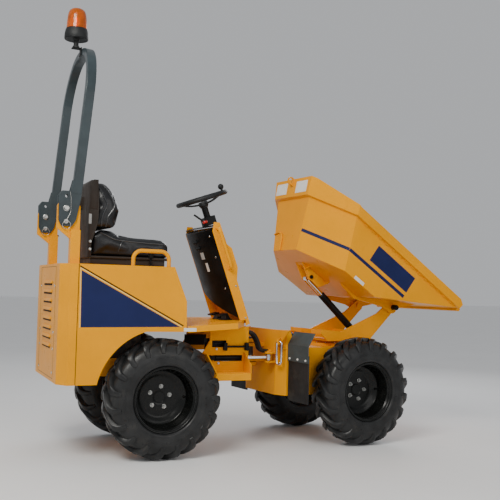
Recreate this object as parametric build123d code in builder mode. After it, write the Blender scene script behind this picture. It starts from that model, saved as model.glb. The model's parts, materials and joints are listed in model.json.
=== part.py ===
"""Articulated site dumper with a swivelling skip: 4x4, folding roll bar, skip tipped.

Machine frame while drawing: x forward from the rear axle, y to the left, z up from the
floor, in millimetres. The front half is drawn steered straight ahead, and the skip is
drawn lowered. placed_rear, placed_front, placed_skip and their like put each piece at
its resting pose, with the origin on the floor under the middle of the machine.
"""

import math
import os
from build123d import *

os.makedirs("parts", exist_ok=True)

# ---------------------------------------------------------------- driving dimensions
MIDDLE_X = 897                # origin, from the rear axle
MIDDLE_Y = 63                 # origin, from the rear half's centre plane
GAP = 6                       # running gap between pieces that move past each other
SEAT = 0.3                    # gap between pieces that rest on each other
PIN_FIT = 0.08                # radial clearance of a pin in its bore

# wheels: 10.0/75-15.3 implement tyres
TYRE_R = 385
TYRE_HALF = 118
RIM_SEAT_R = 192
RIM_FLANGE_R = 211
RIM_HALF = 104
DISC_DEPTH = 49               # bolt face, inboard of the wheel's centre plane
DISC_T = 8
STUD_CIRCLE_R = 70
HUB_R = 88
HUB_DEEP = 40
STUB_R = 30
HALF_TRACK = 430
WHEELBASE = 1494

# articulation
PIVOT_X = 800
REST_STEER = 6.25             # degrees, front half turned to its left
HITCH_PIN_R = 25


# skip pose
TIP_X = 1945
TIP_Z = 988
REST_TIP = 33.2               # degrees, from the lowered pose
SLEW_X = 1540

# rear body
BODY_HALF = 480
BODY_TOP = 1230
BODY_BOTTOM = 483
BODY_REAR = -674
REAR_HALF = 397
STRIP_X = -621                # where the rear corner's chamfer meets the side
GAP_X = -571                  # seam between the rear cover and the side panels
SHEET = 6
ARCH_R = 447
SILL_Z = 813
NOSE_TOP_X = 47
NOSE_KNEE = (135, 1011)
NOSE_X = 140

# rear chassis
CHASSIS_HALF = 250
CHASSIS_PLATE = 10
CHASSIS_REAR = -550
CHASSIS_FRONT = 680
CHASSIS_LOW = 470
CHASSIS_RAIL_TOP = 620
CHASSIS_NOSE_TOP = 838
STEP_HALF = 380
STEP_TOP = 527

# steering cylinder
RAM_REAR = (400, -CHASSIS_HALF + 55)      # x, y on the rear half
RAM_FRONT = (840, -CHASSIS_HALF + 50)     # x, y on the front half, steered straight
RAM_Z = 618
RAM_EYE_HALF = 20
RAM_PIN_R = 12

# floor
FLOOR_START = (148, 848)
FLOOR_RISE = 4.1              # degrees
FLOOR_SQUARE = 352            # full-width length
FLOOR_LENGTH = 492
FLOOR_T = 5
FLOOR_LIP = 40

# roll bar
POST_Y = 386
POST_X = -588
POST_SIZE = 60
TUBE_DEEP = 60
TUBE_WIDE = 50
FOLD_X = -650
FOLD_Z = 1573
LOCK_Z = 1490
HOOP_LEAN = 5.1               # degrees, forwards
HOOP_TOP = 2660
HOOP_BEND_R = 340

# console
CONSOLE_HALF = 280
CONSOLE_LEAN = 20
WHEEL_CENTRE = (391, 1742)
RIM_TUBE_R = 12
STEERING_R = 176


def turned_about(x, y, angle):
    """Turn about the vertical line through x, y."""
    return Location((x, y, 0)) * Location((0, 0, 0), (0, 0, angle)) * Location((-x, -y, 0))


def tipped_about(x, z, angle):
    """Turn about the crosswise line through x, z, front end down for a positive angle."""
    return Location((x, 0, z)) * Location((0, 0, 0), (0, angle, 0)) * Location((-x, 0, -z))


placed_rear = Location((-MIDDLE_X, -MIDDLE_Y, 0))
placed_front = placed_rear * turned_about(PIVOT_X, 0, REST_STEER)
placed_skip = placed_front * tipped_about(TIP_X, TIP_Z, REST_TIP)
PIECES = []                   # (node name, builder, placing)


def keep(name, builder, placing):
    PIECES.append((name, builder, placing))


def side_plane(y):
    """Sketch plane whose x is the machine's x and whose y is up, at a given y."""
    return Plane(origin=(0, y, 0), x_dir=(1, 0, 0), z_dir=(0, -1, 0))


# ---------------------------------------------------------------- wheels
def make_wheel(axle_x, side):
    """Tyre and rim; side is 1 on the left and -1 on the right."""
    centre = Plane(origin=(axle_x, side * HALF_TRACK, TYRE_R), x_dir=(1, 0, 0), z_dir=(0, 0, 1))
    with BuildPart() as tyre:
        with BuildSketch(centre):
            with BuildLine():
                Polyline(
                    (RIM_SEAT_R + SEAT, -RIM_HALF + 8),
                    (RIM_FLANGE_R + 2, -RIM_HALF + 8),
                    (RIM_FLANGE_R + 2, -RIM_HALF),
                    (RIM_FLANGE_R + 14, -TYRE_HALF + 5),
                )
                ThreePointArc(
                    (RIM_FLANGE_R + 14, -TYRE_HALF + 5),
                    (290, -TYRE_HALF),
                    (345, -TYRE_HALF + 8),
                )
                Polyline((345, -TYRE_HALF + 8), (TYRE_R - 9, -88), (TYRE_R, -50), (TYRE_R, 50))
                Polyline((TYRE_R, 50), (TYRE_R - 9, 88), (345, TYRE_HALF - 8))
                ThreePointArc(
                    (345, TYRE_HALF - 8),
                    (290, TYRE_HALF),
                    (RIM_FLANGE_R + 14, TYRE_HALF - 5),
                )
                Polyline(
                    (RIM_FLANGE_R + 14, TYRE_HALF - 5),
                    (RIM_FLANGE_R + 2, RIM_HALF),
                    (RIM_FLANGE_R + 2, RIM_HALF - 8),
                    (RIM_SEAT_R + SEAT, RIM_HALF - 8),
                    (RIM_SEAT_R + SEAT, -RIM_HALF + 8),
                )
            make_face()
        revolve(axis=Axis((axle_x, side * HALF_TRACK, TYRE_R), (0, 1, 0)))
        with BuildSketch(centre):
            inside = ((RIM_SEAT_R - 20, 70), (RIM_FLANGE_R + 16, 78), (290, 98), (338, 92), (TYRE_R - 26, 60))
            Polygon(*inside, *((r, -y) for r, y in reversed(inside)), align=None)
        revolve(axis=Axis((axle_x, side * HALF_TRACK, TYRE_R), (0, 1, 0)), mode=Mode.SUBTRACT)
    face = -side * DISC_DEPTH
    back = face - side * DISC_T
    with BuildPart() as rim:
        with BuildSketch(centre):
            with Locations((RIM_SEAT_R - 5, 0)):
                Rectangle(10, 2 * RIM_HALF - 16)
            for flange in (-1, 1):
                with Locations(((RIM_SEAT_R - 10 + RIM_FLANGE_R) / 2, flange * (RIM_HALF - 4))):
                    Rectangle(RIM_FLANGE_R - RIM_SEAT_R + 10, 8)
            with Locations(((RIM_SEAT_R - 5) / 2, (face + back) / 2)):
                Rectangle(RIM_SEAT_R - 5, DISC_T)
            with Locations((HUB_R / 2, back - side * HUB_DEEP / 2)):
                Rectangle(HUB_R, HUB_DEEP)
            with Locations((24, face + side * 12)):
                Rectangle(48, 24)
        revolve(axis=Axis((axle_x, side * HALF_TRACK, TYRE_R), (0, 1, 0)))
        hub_end = side * HALF_TRACK + back - side * HUB_DEEP
        with BuildSketch(Plane(origin=(axle_x, hub_end, TYRE_R), z_dir=(0, side, 0))):
            Circle(STUB_R + PIN_FIT)
        extrude(amount=HUB_DEEP + 5, mode=Mode.SUBTRACT)
    return tyre, rim


def make_axle(axle_x, pad_top):
    """Drive axle housing with its stubs, carried under two pads."""
    hub_face = HALF_TRACK - DISC_DEPTH - DISC_T - HUB_DEEP
    across = Plane(origin=(axle_x, 0, TYRE_R), z_dir=(0, 1, 0))
    with BuildPart() as axle:
        # radius and half length of the tube, the stubs and the differential
        for radius, half in ((55, hub_face - GAP - 15), (STUB_R, hub_face + HUB_DEEP + 4), (95, 85)):
            with BuildSketch(across):
                Circle(radius)
            extrude(amount=half, both=True)
        for end in (-1, 1):
            with BuildSketch(across.offset(end * (hub_face - GAP))):
                Circle(HUB_R - 8)
            extrude(amount=-end * 18)
            with BuildSketch(Plane.XY.offset(TYRE_R + 20)):
                with Locations((axle_x, end * (CHASSIS_HALF - 30))):
                    Rectangle(120, 60)
            extrude(amount=pad_top - TYRE_R - 20)
    return axle


WHEELS = (
    # name suffix, axle x, side, placing
    ("rear_right", 0, -1, placed_rear),
    ("rear_left", 0, 1, placed_rear),
    ("front_right", WHEELBASE, -1, placed_front),
    ("front_left", WHEELBASE, 1, placed_front),
)
for name, axle_x, side, placing in WHEELS:
    tyre, rim = make_wheel(axle_x, side)
    keep("tyre_" + name, tyre, placing)
    keep("rim_" + name, rim, placing)

# ---------------------------------------------------------------- rear chassis
floor_tan = math.tan(math.radians(FLOOR_RISE))


def floor_under(x):
    """Height of the floor plate's underside."""
    return FLOOR_START[1] - FLOOR_T + (x - FLOOR_START[0]) * floor_tan


with BuildPart() as rear_frame:
    floor_end = FLOOR_START[0] + (FLOOR_LENGTH - FLOOR_LIP) * math.cos(math.radians(FLOOR_RISE))
    for side in (-1, 1):
        with BuildSketch(side_plane(side * (CHASSIS_HALF - CHASSIS_PLATE / 2))):
            with BuildLine():
                Polyline(
                    (CHASSIS_REAR, CHASSIS_LOW + 40),
                    (CHASSIS_REAR, CHASSIS_RAIL_TOP),
                    (320, CHASSIS_RAIL_TOP),
                    (391, 742),
                    (391, floor_under(391) - SEAT),
                    (floor_end, floor_under(floor_end) - SEAT),
                    (floor_end, CHASSIS_NOSE_TOP),
                    (CHASSIS_FRONT, CHASSIS_NOSE_TOP),
                    (CHASSIS_FRONT, CHASSIS_LOW),
                    (-150, CHASSIS_LOW),
                    (-260, CHASSIS_LOW + 40),
                    close=True,
                )
            make_face()
            # openings over the step and beside the steering cylinder
            with Locations((500, 619)):
                Rectangle(270, 42, mode=Mode.SUBTRACT)
            with Locations((460, 718)):
                Rectangle(106, 47, mode=Mode.SUBTRACT)
        extrude(amount=CHASSIS_PLATE / 2, both=True)
    # cross members: x, width, low z, high z, thickness
    full = 2 * CHASSIS_HALF - 2 * CHASSIS_PLATE + 2
    for x, width, low, high, thick in (
        (CHASSIS_REAR + 5, full, 510, 620, 10),
        (-430, full, 580, 620, 60),
        (-180, full, 580, 620, 60),
        (300, full, 500, 580, 10),
        (CHASSIS_FRONT - 8, full, CHASSIS_LOW, 545, 16),
        (CHASSIS_FRONT - 8, 130, 540, 720, 16),
        (CHASSIS_FRONT - 8, full, 715, 765, 16),
    ):
        with BuildSketch(Plane.XY.offset(low)):
            with Locations((x, 0)):
                Rectangle(thick, width)
        extrude(amount=high - low)
    # beam that carries the roll bar's posts
    with BuildSketch(Plane.XY.offset(510)):
        with Locations((POST_X, 0)):
            Rectangle(POST_SIZE, 2 * POST_Y - POST_SIZE)
        with Locations(((POST_X + CHASSIS_REAR + 5) / 2, 0)):
            Rectangle(CHASSIS_REAR + 5 - POST_X, 300)
    extrude(amount=60)
    # hitch ears, bored for the pivot pin
    for low in (545, 715):
        with BuildSketch(Plane.XY.offset(low)):
            with Locations(((CHASSIS_FRONT - 10 + PIVOT_X) / 2, 0)):
                Rectangle(PIVOT_X - CHASSIS_FRONT + 10, 110)
            with Locations((PIVOT_X, 0)):
                Circle(55)
        extrude(amount=25)
    with BuildSketch(Plane.XY.offset(540)):
        with Locations((PIVOT_X, 0)):
            Circle(HITCH_PIN_R + PIN_FIT)
    extrude(amount=220, mode=Mode.SUBTRACT)
    # steering cylinder's rear bracket
    for low in (RAM_Z - RAM_EYE_HALF - 2 - 12, RAM_Z + RAM_EYE_HALF + 2):
        with BuildSketch(Plane.XY.offset(low)):
            with Locations((RAM_REAR[0] - 10, (RAM_REAR[1] - CHASSIS_HALF + CHASSIS_PLATE / 2) / 2 + 14)):
                Rectangle(70, CHASSIS_HALF - CHASSIS_PLATE / 2 + RAM_REAR[1] + 28)
        extrude(amount=12)
    with BuildSketch(Plane.XY.offset(RAM_Z - RAM_EYE_HALF - 8)):
        with Locations(RAM_REAR):
            Circle(RAM_PIN_R)
    extrude(amount=2 * RAM_EYE_HALF + 16)
keep("rear_frame", rear_frame, placed_rear)

with BuildPart() as hitch_pin:
    with BuildSketch(Plane.XY.offset(538)):
        with Locations((PIVOT_X, 0)):
            Circle(HITCH_PIN_R)
    extrude(amount=206)
    with BuildSketch(Plane.XY.offset(740 + SEAT)):
        with Locations((PIVOT_X, 0)):
            Circle(38)
    extrude(amount=12)
keep("hitch_pin", hitch_pin, placed_rear)

keep("rear_axle", make_axle(0, CHASSIS_LOW - SEAT), placed_rear)

with BuildPart() as engine_block:
    with BuildSketch(Plane.XY.offset(CHASSIS_RAIL_TOP + SEAT)):
        with Locations((-300, 0)):
            Rectangle(430, 400)
    extrude(amount=480)
keep("engine_block", engine_block, placed_rear)

# side steps: sloped back plate, tread with a lip, front gusset
for name, side in (("step_right", -1), ("step_left", 1)):
    with BuildPart() as step:
        inner_y = CHASSIS_HALF + SEAT
        depth = STEP_HALF - inner_y
        with BuildSketch(Plane.XZ.offset(-side * inner_y)):
            Polygon((322, 655), (329, 658), (403, STEP_TOP), (398, STEP_TOP - 45), (390, STEP_TOP - 45),
                    (396, STEP_TOP - 4), align=None)
            with Locations(((396 + 651) / 2, STEP_TOP - 2.5)):
                Rectangle(651 - 396, 5)
        extrude(amount=-side * depth)
        with BuildSketch(Plane.XZ.offset(-side * (STEP_HALF - 5))):
            with Locations(((396 + 651) / 2, STEP_TOP - 24)):
                Rectangle(651 - 396, 48)
        extrude(amount=-side * 5)
        with BuildSketch(Plane(origin=(646, 0, 0), x_dir=(0, side, 0), z_dir=(side, 0, 0))):
            Polygon((inner_y, 480), (inner_y, 657), (inner_y + 8, 657), (STEP_HALF, 583), (STEP_HALF, 480),
                    align=None)
        extrude(amount=side * 5)
    keep(name, step, placed_rear)

# ---------------------------------------------------------------- rear body panels
with BuildPart() as rear_cover:
    with BuildSketch(Plane.XY.offset(BODY_BOTTOM)):
        with BuildLine():
            Polyline(
                (GAP_X - SEAT, -BODY_HALF),
                (STRIP_X, -BODY_HALF),
                (BODY_REAR, -REAR_HALF),
                (BODY_REAR, REAR_HALF),
                (STRIP_X, BODY_HALF),
                (GAP_X - SEAT, BODY_HALF),
                (GAP_X - SEAT, BODY_HALF - SHEET),
                (STRIP_X + 3, BODY_HALF - SHEET),
                (BODY_REAR + SHEET, REAR_HALF - 3),
                (BODY_REAR + SHEET, -REAR_HALF + 3),
                (STRIP_X + 3, -BODY_HALF + SHEET),
                (GAP_X - SEAT, -BODY_HALF + SHEET),
                close=True,
            )
        make_face()
    extrude(amount=BODY_TOP - BODY_BOTTOM)
    with BuildSketch(Plane(origin=(BODY_REAR, 0, 905), x_dir=(0, 1, 0), z_dir=(1, 0, 0))):
        with GridLocations(0, 58, 1, 8):
            Rectangle(300, 14)
    extrude(amount=SHEET, mode=Mode.SUBTRACT)
keep("rear_cover", rear_cover, placed_rear)

for name, side in (("side_panel_right", -1), ("side_panel_left", 1)):
    with BuildPart() as side_panel:
        with BuildSketch(side_plane(side * (BODY_HALF - SHEET / 2))):
            rise = SILL_Z - TYRE_R
            foot = BODY_BOTTOM - TYRE_R
            high = (-math.sqrt(ARCH_R**2 - rise**2), SILL_Z)
            low = (-math.sqrt(ARCH_R**2 - foot**2), BODY_BOTTOM)
            with BuildLine():
                Polyline(low, (GAP_X + SEAT, BODY_BOTTOM), (GAP_X + SEAT, BODY_TOP), (NOSE_TOP_X, BODY_TOP),
                         NOSE_KNEE, (NOSE_X, FLOOR_START[1]), (NOSE_X, SILL_Z), high)
                RadiusArc(high, low, -ARCH_R)
            make_face()
        extrude(amount=SHEET / 2, both=True)
    keep(name, side_panel, placed_rear)

with BuildPart() as engine_cover:
    inner = BODY_HALF - SHEET - SEAT
    with BuildSketch(side_plane(0)):
        with BuildLine():
            Polyline(
                (GAP_X, BODY_TOP), (NOSE_TOP_X, BODY_TOP), NOSE_KNEE, (NOSE_X, SILL_Z),
                (NOSE_X - SHEET, SILL_Z), (NOSE_KNEE[0] - SHEET, NOSE_KNEE[1] - 1),
                (NOSE_TOP_X - 4, BODY_TOP - SHEET), (GAP_X, BODY_TOP - SHEET), close=True,
            )
        make_face()
    extrude(amount=inner, both=True)
    with BuildSketch(Plane.XY.offset(BODY_TOP - SHEET)):
        with BuildLine():
            Polyline(
                (GAP_X, -inner), (STRIP_X + 4, -inner), (BODY_REAR + SHEET + SEAT, -REAR_HALF + 6),
                (BODY_REAR + SHEET + SEAT, REAR_HALF - 6), (STRIP_X + 4, inner), (GAP_X, inner), close=True,
            )
        make_face()
    extrude(amount=SHEET)
    with BuildSketch(Plane.XY.offset(BODY_TOP - SHEET)):
        with GridLocations(0, 2 * POST_Y, 1, 2):
            with Locations((POST_X, 0)):
                Rectangle(POST_SIZE + 2 * SEAT, POST_SIZE + 2 * SEAT)
    extrude(amount=SHEET, mode=Mode.SUBTRACT)
keep("engine_cover", engine_cover, placed_rear)

with BuildPart() as floor_plate:
    tilted = Plane(origin=(FLOOR_START[0], 0, FLOOR_START[1]),
                   x_dir=(math.cos(math.radians(FLOOR_RISE)), 0, math.sin(math.radians(FLOOR_RISE))),
                   z_dir=(-math.sin(math.radians(FLOOR_RISE)), 0, math.cos(math.radians(FLOOR_RISE))))
    for inset, drop, mode in ((0, FLOOR_LIP, Mode.ADD), (FLOOR_T, FLOOR_LIP, Mode.SUBTRACT)):
        with BuildSketch(tilted.offset(-inset)):
            with BuildLine():
                start = -1 if inset else 0
                Polyline(
                    (start, -BODY_HALF + inset),
                    (FLOOR_SQUARE - inset / 2, -BODY_HALF + inset),
                    (FLOOR_LENGTH - inset, -CHASSIS_HALF - 8 + inset),
                    (FLOOR_LENGTH - inset, CHASSIS_HALF + 8 - inset),
                    (FLOOR_SQUARE - inset / 2, BODY_HALF - inset),
                    (start, BODY_HALF - inset),
                    close=True,
                )
            make_face()
        extrude(amount=-drop, mode=mode)
keep("floor_plate", floor_plate, placed_rear)

# ---------------------------------------------------------------- seat
with BuildPart() as seat_base:
    with BuildSketch(Plane.XY.offset(BODY_TOP + SEAT)):
        with Locations((-190, 0)):
            Rectangle(430, 330)
    extrude(amount=45)
keep("seat_base", seat_base, placed_rear)

with BuildPart() as seat_shell:
    with BuildSketch(side_plane(0)):
        with BuildLine():
            Polyline((-440, BODY_TOP + 45 + 2 * SEAT), (-462, 1300), (-470, 1560), (-462, 1770), (-435, 1800),
                     (-402, 1780), (-412, 1760), (-440, 1770), (-452, 1560), (-446, 1310), (-425, 1293),
                     (90, 1293), (90, BODY_TOP + 45 + 2 * SEAT), close=True)
        make_face()
    extrude(amount=215, both=True)
keep("seat_shell", seat_shell, placed_rear)

with BuildPart() as seat_back:
    with BuildSketch(side_plane(0)):
        with BuildLine():
            Polyline((-448.4, 1432), (-451.6, 1560), (-440, 1764), (-408, 1756), (-375, 1800), (-330, 1790),
                     (-270, 1710), (-235, 1600), (-250, 1500), (-290, 1440), close=True)
        make_face()
    extrude(amount=210, both=True)
keep("seat_back", seat_back, placed_rear)

with BuildPart() as seat_cushion:
    with BuildSketch(side_plane(0)):
        with BuildLine():
            Polyline((-424, 1293 + SEAT), (-442, 1312), (-442, 1428), (-280, 1438), (60, 1424), (105, 1400),
                     (110, 1340), (92, 1293 + SEAT), close=True)
        make_face()
    extrude(amount=215, both=True)
keep("seat_cushion", seat_cushion, placed_rear)

# ---------------------------------------------------------------- grab rails by the seat
RAIL_R = 13
for name, side in (("grab_rail_right", -1), ("grab_rail_left", 1)):
    with BuildPart() as grab_rail:
        with BuildLine(side_plane(side * (BODY_HALF - SHEET / 2 - 22))) as path:
            FilletPolyline((-225, BODY_TOP + SEAT), (-225, 1327), (12, 1327), (12, BODY_TOP + SEAT),
                           radius=55)
        with BuildSketch(Plane(origin=path.line @ 0, z_dir=path.line % 0)):
            Circle(RAIL_R)
        sweep(path=path.line)
    keep(name, grab_rail, placed_rear)

# ---------------------------------------------------------------- roll bar
POST_LOW = 500
POST_HIGH = 1442
LUG_HALF = 12                 # half the thickness of the fold lug on each post
CHEEK_T = 10
CHEEK_FIT = 2                 # running gap between a lug and its cheeks
FOLD_PIN_R = 14
LOCK_BORE_R = 11
for name, side in (("rops_post_right", -1), ("rops_post_left", 1)):
    with BuildPart() as rops_post:
        with BuildSketch(Plane.XY.offset(POST_LOW)):
            with Locations((POST_X, side * POST_Y)):
                Rectangle(POST_SIZE, POST_SIZE)
        extrude(amount=POST_HIGH - POST_LOW)
        with BuildSketch(side_plane(side * POST_Y)):
            with BuildLine():
                Polyline(
                    (POST_X - POST_SIZE / 2, 1385),
                    (POST_X + POST_SIZE / 2 - 2, POST_HIGH - 1),
                    (POST_X + POST_SIZE / 2 - 2, 1590),
                    (POST_X + 10, 1612),
                    (FOLD_X - 40, 1612),
                    (FOLD_X - 52, 1590),
                    (FOLD_X - 52, 1450),
                    close=True,
                )
            make_face()
            with Locations((FOLD_X, FOLD_Z)):
                Circle(FOLD_PIN_R + PIN_FIT, mode=Mode.SUBTRACT)
            with Locations((FOLD_X, LOCK_Z)):
                Circle(LOCK_BORE_R, mode=Mode.SUBTRACT)
        extrude(amount=LUG_HALF, both=True)
    keep(name, rops_post, placed_rear)

lean = math.radians(HOOP_LEAN)
HOOP_FOOT = 1668
hoop_rise = (HOOP_TOP - HOOP_FOOT) / math.cos(lean)
hoop_plane = Plane(origin=(POST_X + 2, 0, HOOP_FOOT), x_dir=(0, 1, 0),
                   z_dir=(math.cos(lean), 0, -math.sin(lean)))
with BuildPart() as roll_hoop:
    with BuildLine(hoop_plane) as path:
        FilletPolyline((-POST_Y, 0), (-POST_Y, hoop_rise), (POST_Y, hoop_rise), (POST_Y, 0),
                       radius=HOOP_BEND_R)
    with BuildSketch(Plane(origin=path.line @ 0, x_dir=(0, 1, 0), z_dir=path.line % 0)):
        RectangleRounded(TUBE_WIDE, TUBE_DEEP, 6)
    sweep(path=path.line)
    cheek_y = LUG_HALF + CHEEK_FIT + CHEEK_T / 2
    for side in (-1, 1):
        for cheek in (-1, 1):
            with BuildSketch(side_plane(side * POST_Y + cheek * cheek_y)):
                with BuildLine():
                    Polyline(
                        (POST_X - 24, 1755),
                        (POST_X + 38, 1755),
                        (POST_X + 28, 1640),
                        (FOLD_X + 62, 1500),
                        (FOLD_X + 38, 1462),
                        (FOLD_X - 28, 1462),
                        (FOLD_X - 46, 1500),
                        (FOLD_X - 48, 1655),
                        (FOLD_X - 28, 1682),
                        (FOLD_X + 20, 1682),
                        close=True,
                    )
                make_face()
                for bore_z in (LOCK_Z, FOLD_Z + 77):
                    with Locations((FOLD_X, bore_z)):
                        Circle(LOCK_BORE_R, mode=Mode.SUBTRACT)
            extrude(amount=CHEEK_T / 2, both=True)
        with BuildSketch(side_plane(side * POST_Y)):
            with Locations((FOLD_X, FOLD_Z)):
                Circle(FOLD_PIN_R)
        extrude(amount=cheek_y + CHEEK_T / 2 + 8, both=True)
keep("roll_hoop", roll_hoop, placed_rear)

BEACON_X = -562
BEACON_Y = -60
LENS_Z = 2816
with BuildPart() as beacon_base:
    # radius, low z, high z
    for radius, low, high in ((15, 2684, 2750), (78, 2746, 2775), (70, 2770, LENS_Z)):
        with BuildSketch(Plane.XY.offset(low)):
            with Locations((BEACON_X, BEACON_Y)):
                Circle(radius)
        extrude(amount=high - low)
    with BuildSketch(Plane.XY.offset(2684)):
        with Locations((BEACON_X + 4, BEACON_Y)):
            Rectangle(62, 46)
    extrude(amount=6)
    with BuildSketch(hoop_plane.offset(-TUBE_DEEP / 2 - SEAT)):
        with Locations((BEACON_Y, hoop_rise + 2)):
            Rectangle(46, 56)
    extrude(amount=-8)
keep("beacon_base", beacon_base, placed_rear)

with BuildPart() as beacon_lens:
    with BuildSketch(Plane.XZ.offset(-BEACON_Y)):
        with BuildLine():
            Polyline((BEACON_X + 30, 2956), (BEACON_X, 2956), (BEACON_X, LENS_Z + SEAT),
                     (BEACON_X + 68, LENS_Z + SEAT), (BEACON_X + 62, 2900))
            ThreePointArc((BEACON_X + 62, 2900), (BEACON_X + 53, 2938), (BEACON_X + 30, 2956))
        make_face()
    revolve(axis=Axis((BEACON_X, BEACON_Y, 0), (0, 0, 1)))
keep("beacon_lens", beacon_lens, placed_rear)

# ---------------------------------------------------------------- console
PLATE_T = 5
CONSOLE_IN = CONSOLE_HALF - PLATE_T / 2 - SEAT
floor_edge = FLOOR_START[0] + FLOOR_LENGTH * math.cos(math.radians(FLOOR_RISE)) + 3


def floor_top(x):
    return floor_under(x) + FLOOR_T + 1


console_back = (374, 1491)
console_foot = (596, floor_top(596))
console_front_edge = [(425, 1555), (483, 1407), (521, 1381), (569, 1249), (566, 1161), (673, 862)]
for name, side in (("console_side_right", -1), ("console_side_left", 1)):
    with BuildPart() as console_side:
        with BuildSketch(side_plane(side * CONSOLE_HALF)):
            Polygon((383, 1555), *console_front_edge, (floor_edge, 846), (floor_edge, floor_top(floor_edge)),
                    console_foot, console_back, align=None)
        extrude(amount=PLATE_T / 2, both=True)
    keep(name, console_side, placed_rear)

with BuildPart() as console_front:
    with BuildSketch(side_plane(0)):
        Polygon((435, 1530), *console_front_edge[1:], (667, 860), (560, 1160), (563, 1248), (517, 1377),
                (478, 1404), (429, 1530), align=None)
    extrude(amount=CONSOLE_IN, both=True)
keep("console_front", console_front, placed_rear)

lean_cos = math.cos(math.radians(CONSOLE_LEAN))
lean_sin = math.sin(math.radians(CONSOLE_LEAN))
SHROUD_BULGE = 80
SHROUD_LONG = 660
SHROUD_WALL = 5
shroud_top = Plane(origin=(386, 0, 1504), x_dir=(lean_cos, 0, lean_sin), z_dir=(-lean_sin, 0, lean_cos))
with BuildPart() as console_shroud:
    for inset, mode in ((0, Mode.ADD), (SHROUD_WALL, Mode.SUBTRACT)):
        half = CONSOLE_IN - inset
        with BuildSketch(shroud_top.offset(-inset)):
            with BuildLine():
                ThreePointArc((0, -half), (-SHROUD_BULGE + inset, 0), (0, half))
                Polyline((0, half), (30, half), (30, -half), (0, -half))
            make_face()
        extrude(amount=-SHROUD_LONG, mode=mode)
    with BuildSketch(shroud_top.offset(-SHROUD_WALL)):
        with Locations((20, 0)):
            Rectangle(40, 2 * CONSOLE_IN - 2 * SHROUD_WALL)
    extrude(amount=-SHROUD_LONG, mode=Mode.SUBTRACT)
    with BuildSketch(Plane(origin=(0, 0, 1015), x_dir=(1, 0, 0), z_dir=(0, -0.41, 0.912))):
        with Locations((500, 0)):
            Rectangle(900, 900)
    extrude(amount=-500, mode=Mode.SUBTRACT)
keep("console_shroud", console_shroud, placed_rear)

wheel_plane = Plane(origin=(WHEEL_CENTRE[0], 0, WHEEL_CENTRE[1]), x_dir=(lean_cos, 0, lean_sin),
                    z_dir=(-lean_sin, 0, lean_cos))
DASH_DROP = 197               # from the steering wheel's plane down to the dash
with BuildPart() as dash_panel:
    with BuildSketch(wheel_plane.offset(-DASH_DROP)):
        with Locations((-62, 0)):
            Rectangle(62, 2 * CONSOLE_IN)
    extrude(amount=-4)
    with BuildSketch(wheel_plane.offset(-DASH_DROP)):
        with Locations((-70, -110)):
            Circle(17)
    extrude(amount=24)
keep("dash_panel", dash_panel, placed_rear)

SHAFT_R = 11
with BuildPart() as steering_column:
    with BuildSketch(wheel_plane.offset(-DASH_DROP)):
        Rectangle(84, 90)
    extrude(amount=60)
    with BuildSketch(wheel_plane.offset(-DASH_DROP + 55)):
        Circle(24)
    extrude(amount=75)
    with BuildSketch(wheel_plane.offset(-DASH_DROP + 120)):
        Circle(SHAFT_R)
    extrude(amount=60)
keep("steering_column", steering_column, placed_rear)

with BuildPart() as steering_wheel:
    with BuildSketch(Plane(origin=wheel_plane.origin, x_dir=wheel_plane.x_dir, z_dir=wheel_plane.y_dir)):
        with Locations((STEERING_R, 0)):
            Circle(RIM_TUBE_R)
    revolve(axis=Axis(wheel_plane.origin, wheel_plane.z_dir))
    with BuildSketch(wheel_plane.offset(-62)):
        Circle(30)
    extrude(amount=64)
    with BuildSketch(wheel_plane.offset(-12)):
        with PolarLocations(95, 3, start_angle=180):
            Rectangle(150, 22)
    extrude(amount=8)
    with BuildSketch(wheel_plane.offset(-63)):
        Circle(SHAFT_R + PIN_FIT)
    extrude(amount=50, mode=Mode.SUBTRACT)
    # spinner knob
    knob_turn = math.radians(-50)
    for radius, low, tall in ((7, 4, 30), (21, 30, 26)):
        with BuildSketch(wheel_plane.offset(low)):
            with Locations((STEERING_R * math.cos(knob_turn), STEERING_R * math.sin(knob_turn))):
                Circle(radius)
        extrude(amount=tall)
keep("steering_wheel", steering_wheel, placed_rear)

HANDRAIL_R = 11
HANDRAIL_OUT = 42
for name, side in (("handrail_right", -1), ("handrail_left", 1)):
    with BuildPart() as handrail:
        stand = side * (CONSOLE_HALF + PLATE_T / 2 + SEAT)
        out = stand + side * HANDRAIL_OUT
        with BuildLine() as path:
            FilletPolyline((406, stand, 1512), (406, out, 1512), (508, out, 1238), (508, stand, 1238),
                           radius=28)
        with BuildSketch(Plane(origin=path.line @ 0, z_dir=path.line % 0)):
            Circle(HANDRAIL_R)
        sweep(path=path.line)
    keep(name, handrail, placed_rear)

with BuildPart() as pedals:
    heel = Plane(origin=(560, 0, floor_top(560)), x_dir=(0, 1, 0), z_dir=(-floor_tan, 0, 1))
    with BuildSketch(heel):
        with Locations((-35, 0)):
            Rectangle(250, 50)
    extrude(amount=8)
    for y in (-115, 45):
        with BuildSketch(side_plane(y)):
            Polygon((540, floor_top(540) + 4), (580, floor_top(580) + 4), (552, 928), (492, 912), (496, 902),
                    (540, 912), align=None)
        extrude(amount=40, both=True)
keep("pedals", pedals, placed_rear)

with BuildPart() as drive_lever:
    with BuildLine(side_plane(-300)) as path:
        FilletPolyline((-62, BODY_TOP + 4), (-66, 1262), (-62, 1300), radius=30)
    with BuildSketch(Plane(origin=path.line @ 0, z_dir=path.line % 0)):
        Circle(7)
    sweep(path=path.line)
    with BuildSketch(Plane.XY.offset(1285)):
        with Locations((-63, -300)):
            Circle(17)
    extrude(amount=34)
    with BuildSketch(Plane.XY.offset(BODY_TOP + SEAT)):
        with Locations((-62, -300)):
            Rectangle(90, 60)
    extrude(amount=8)
keep("drive_lever", drive_lever, placed_rear)

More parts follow.
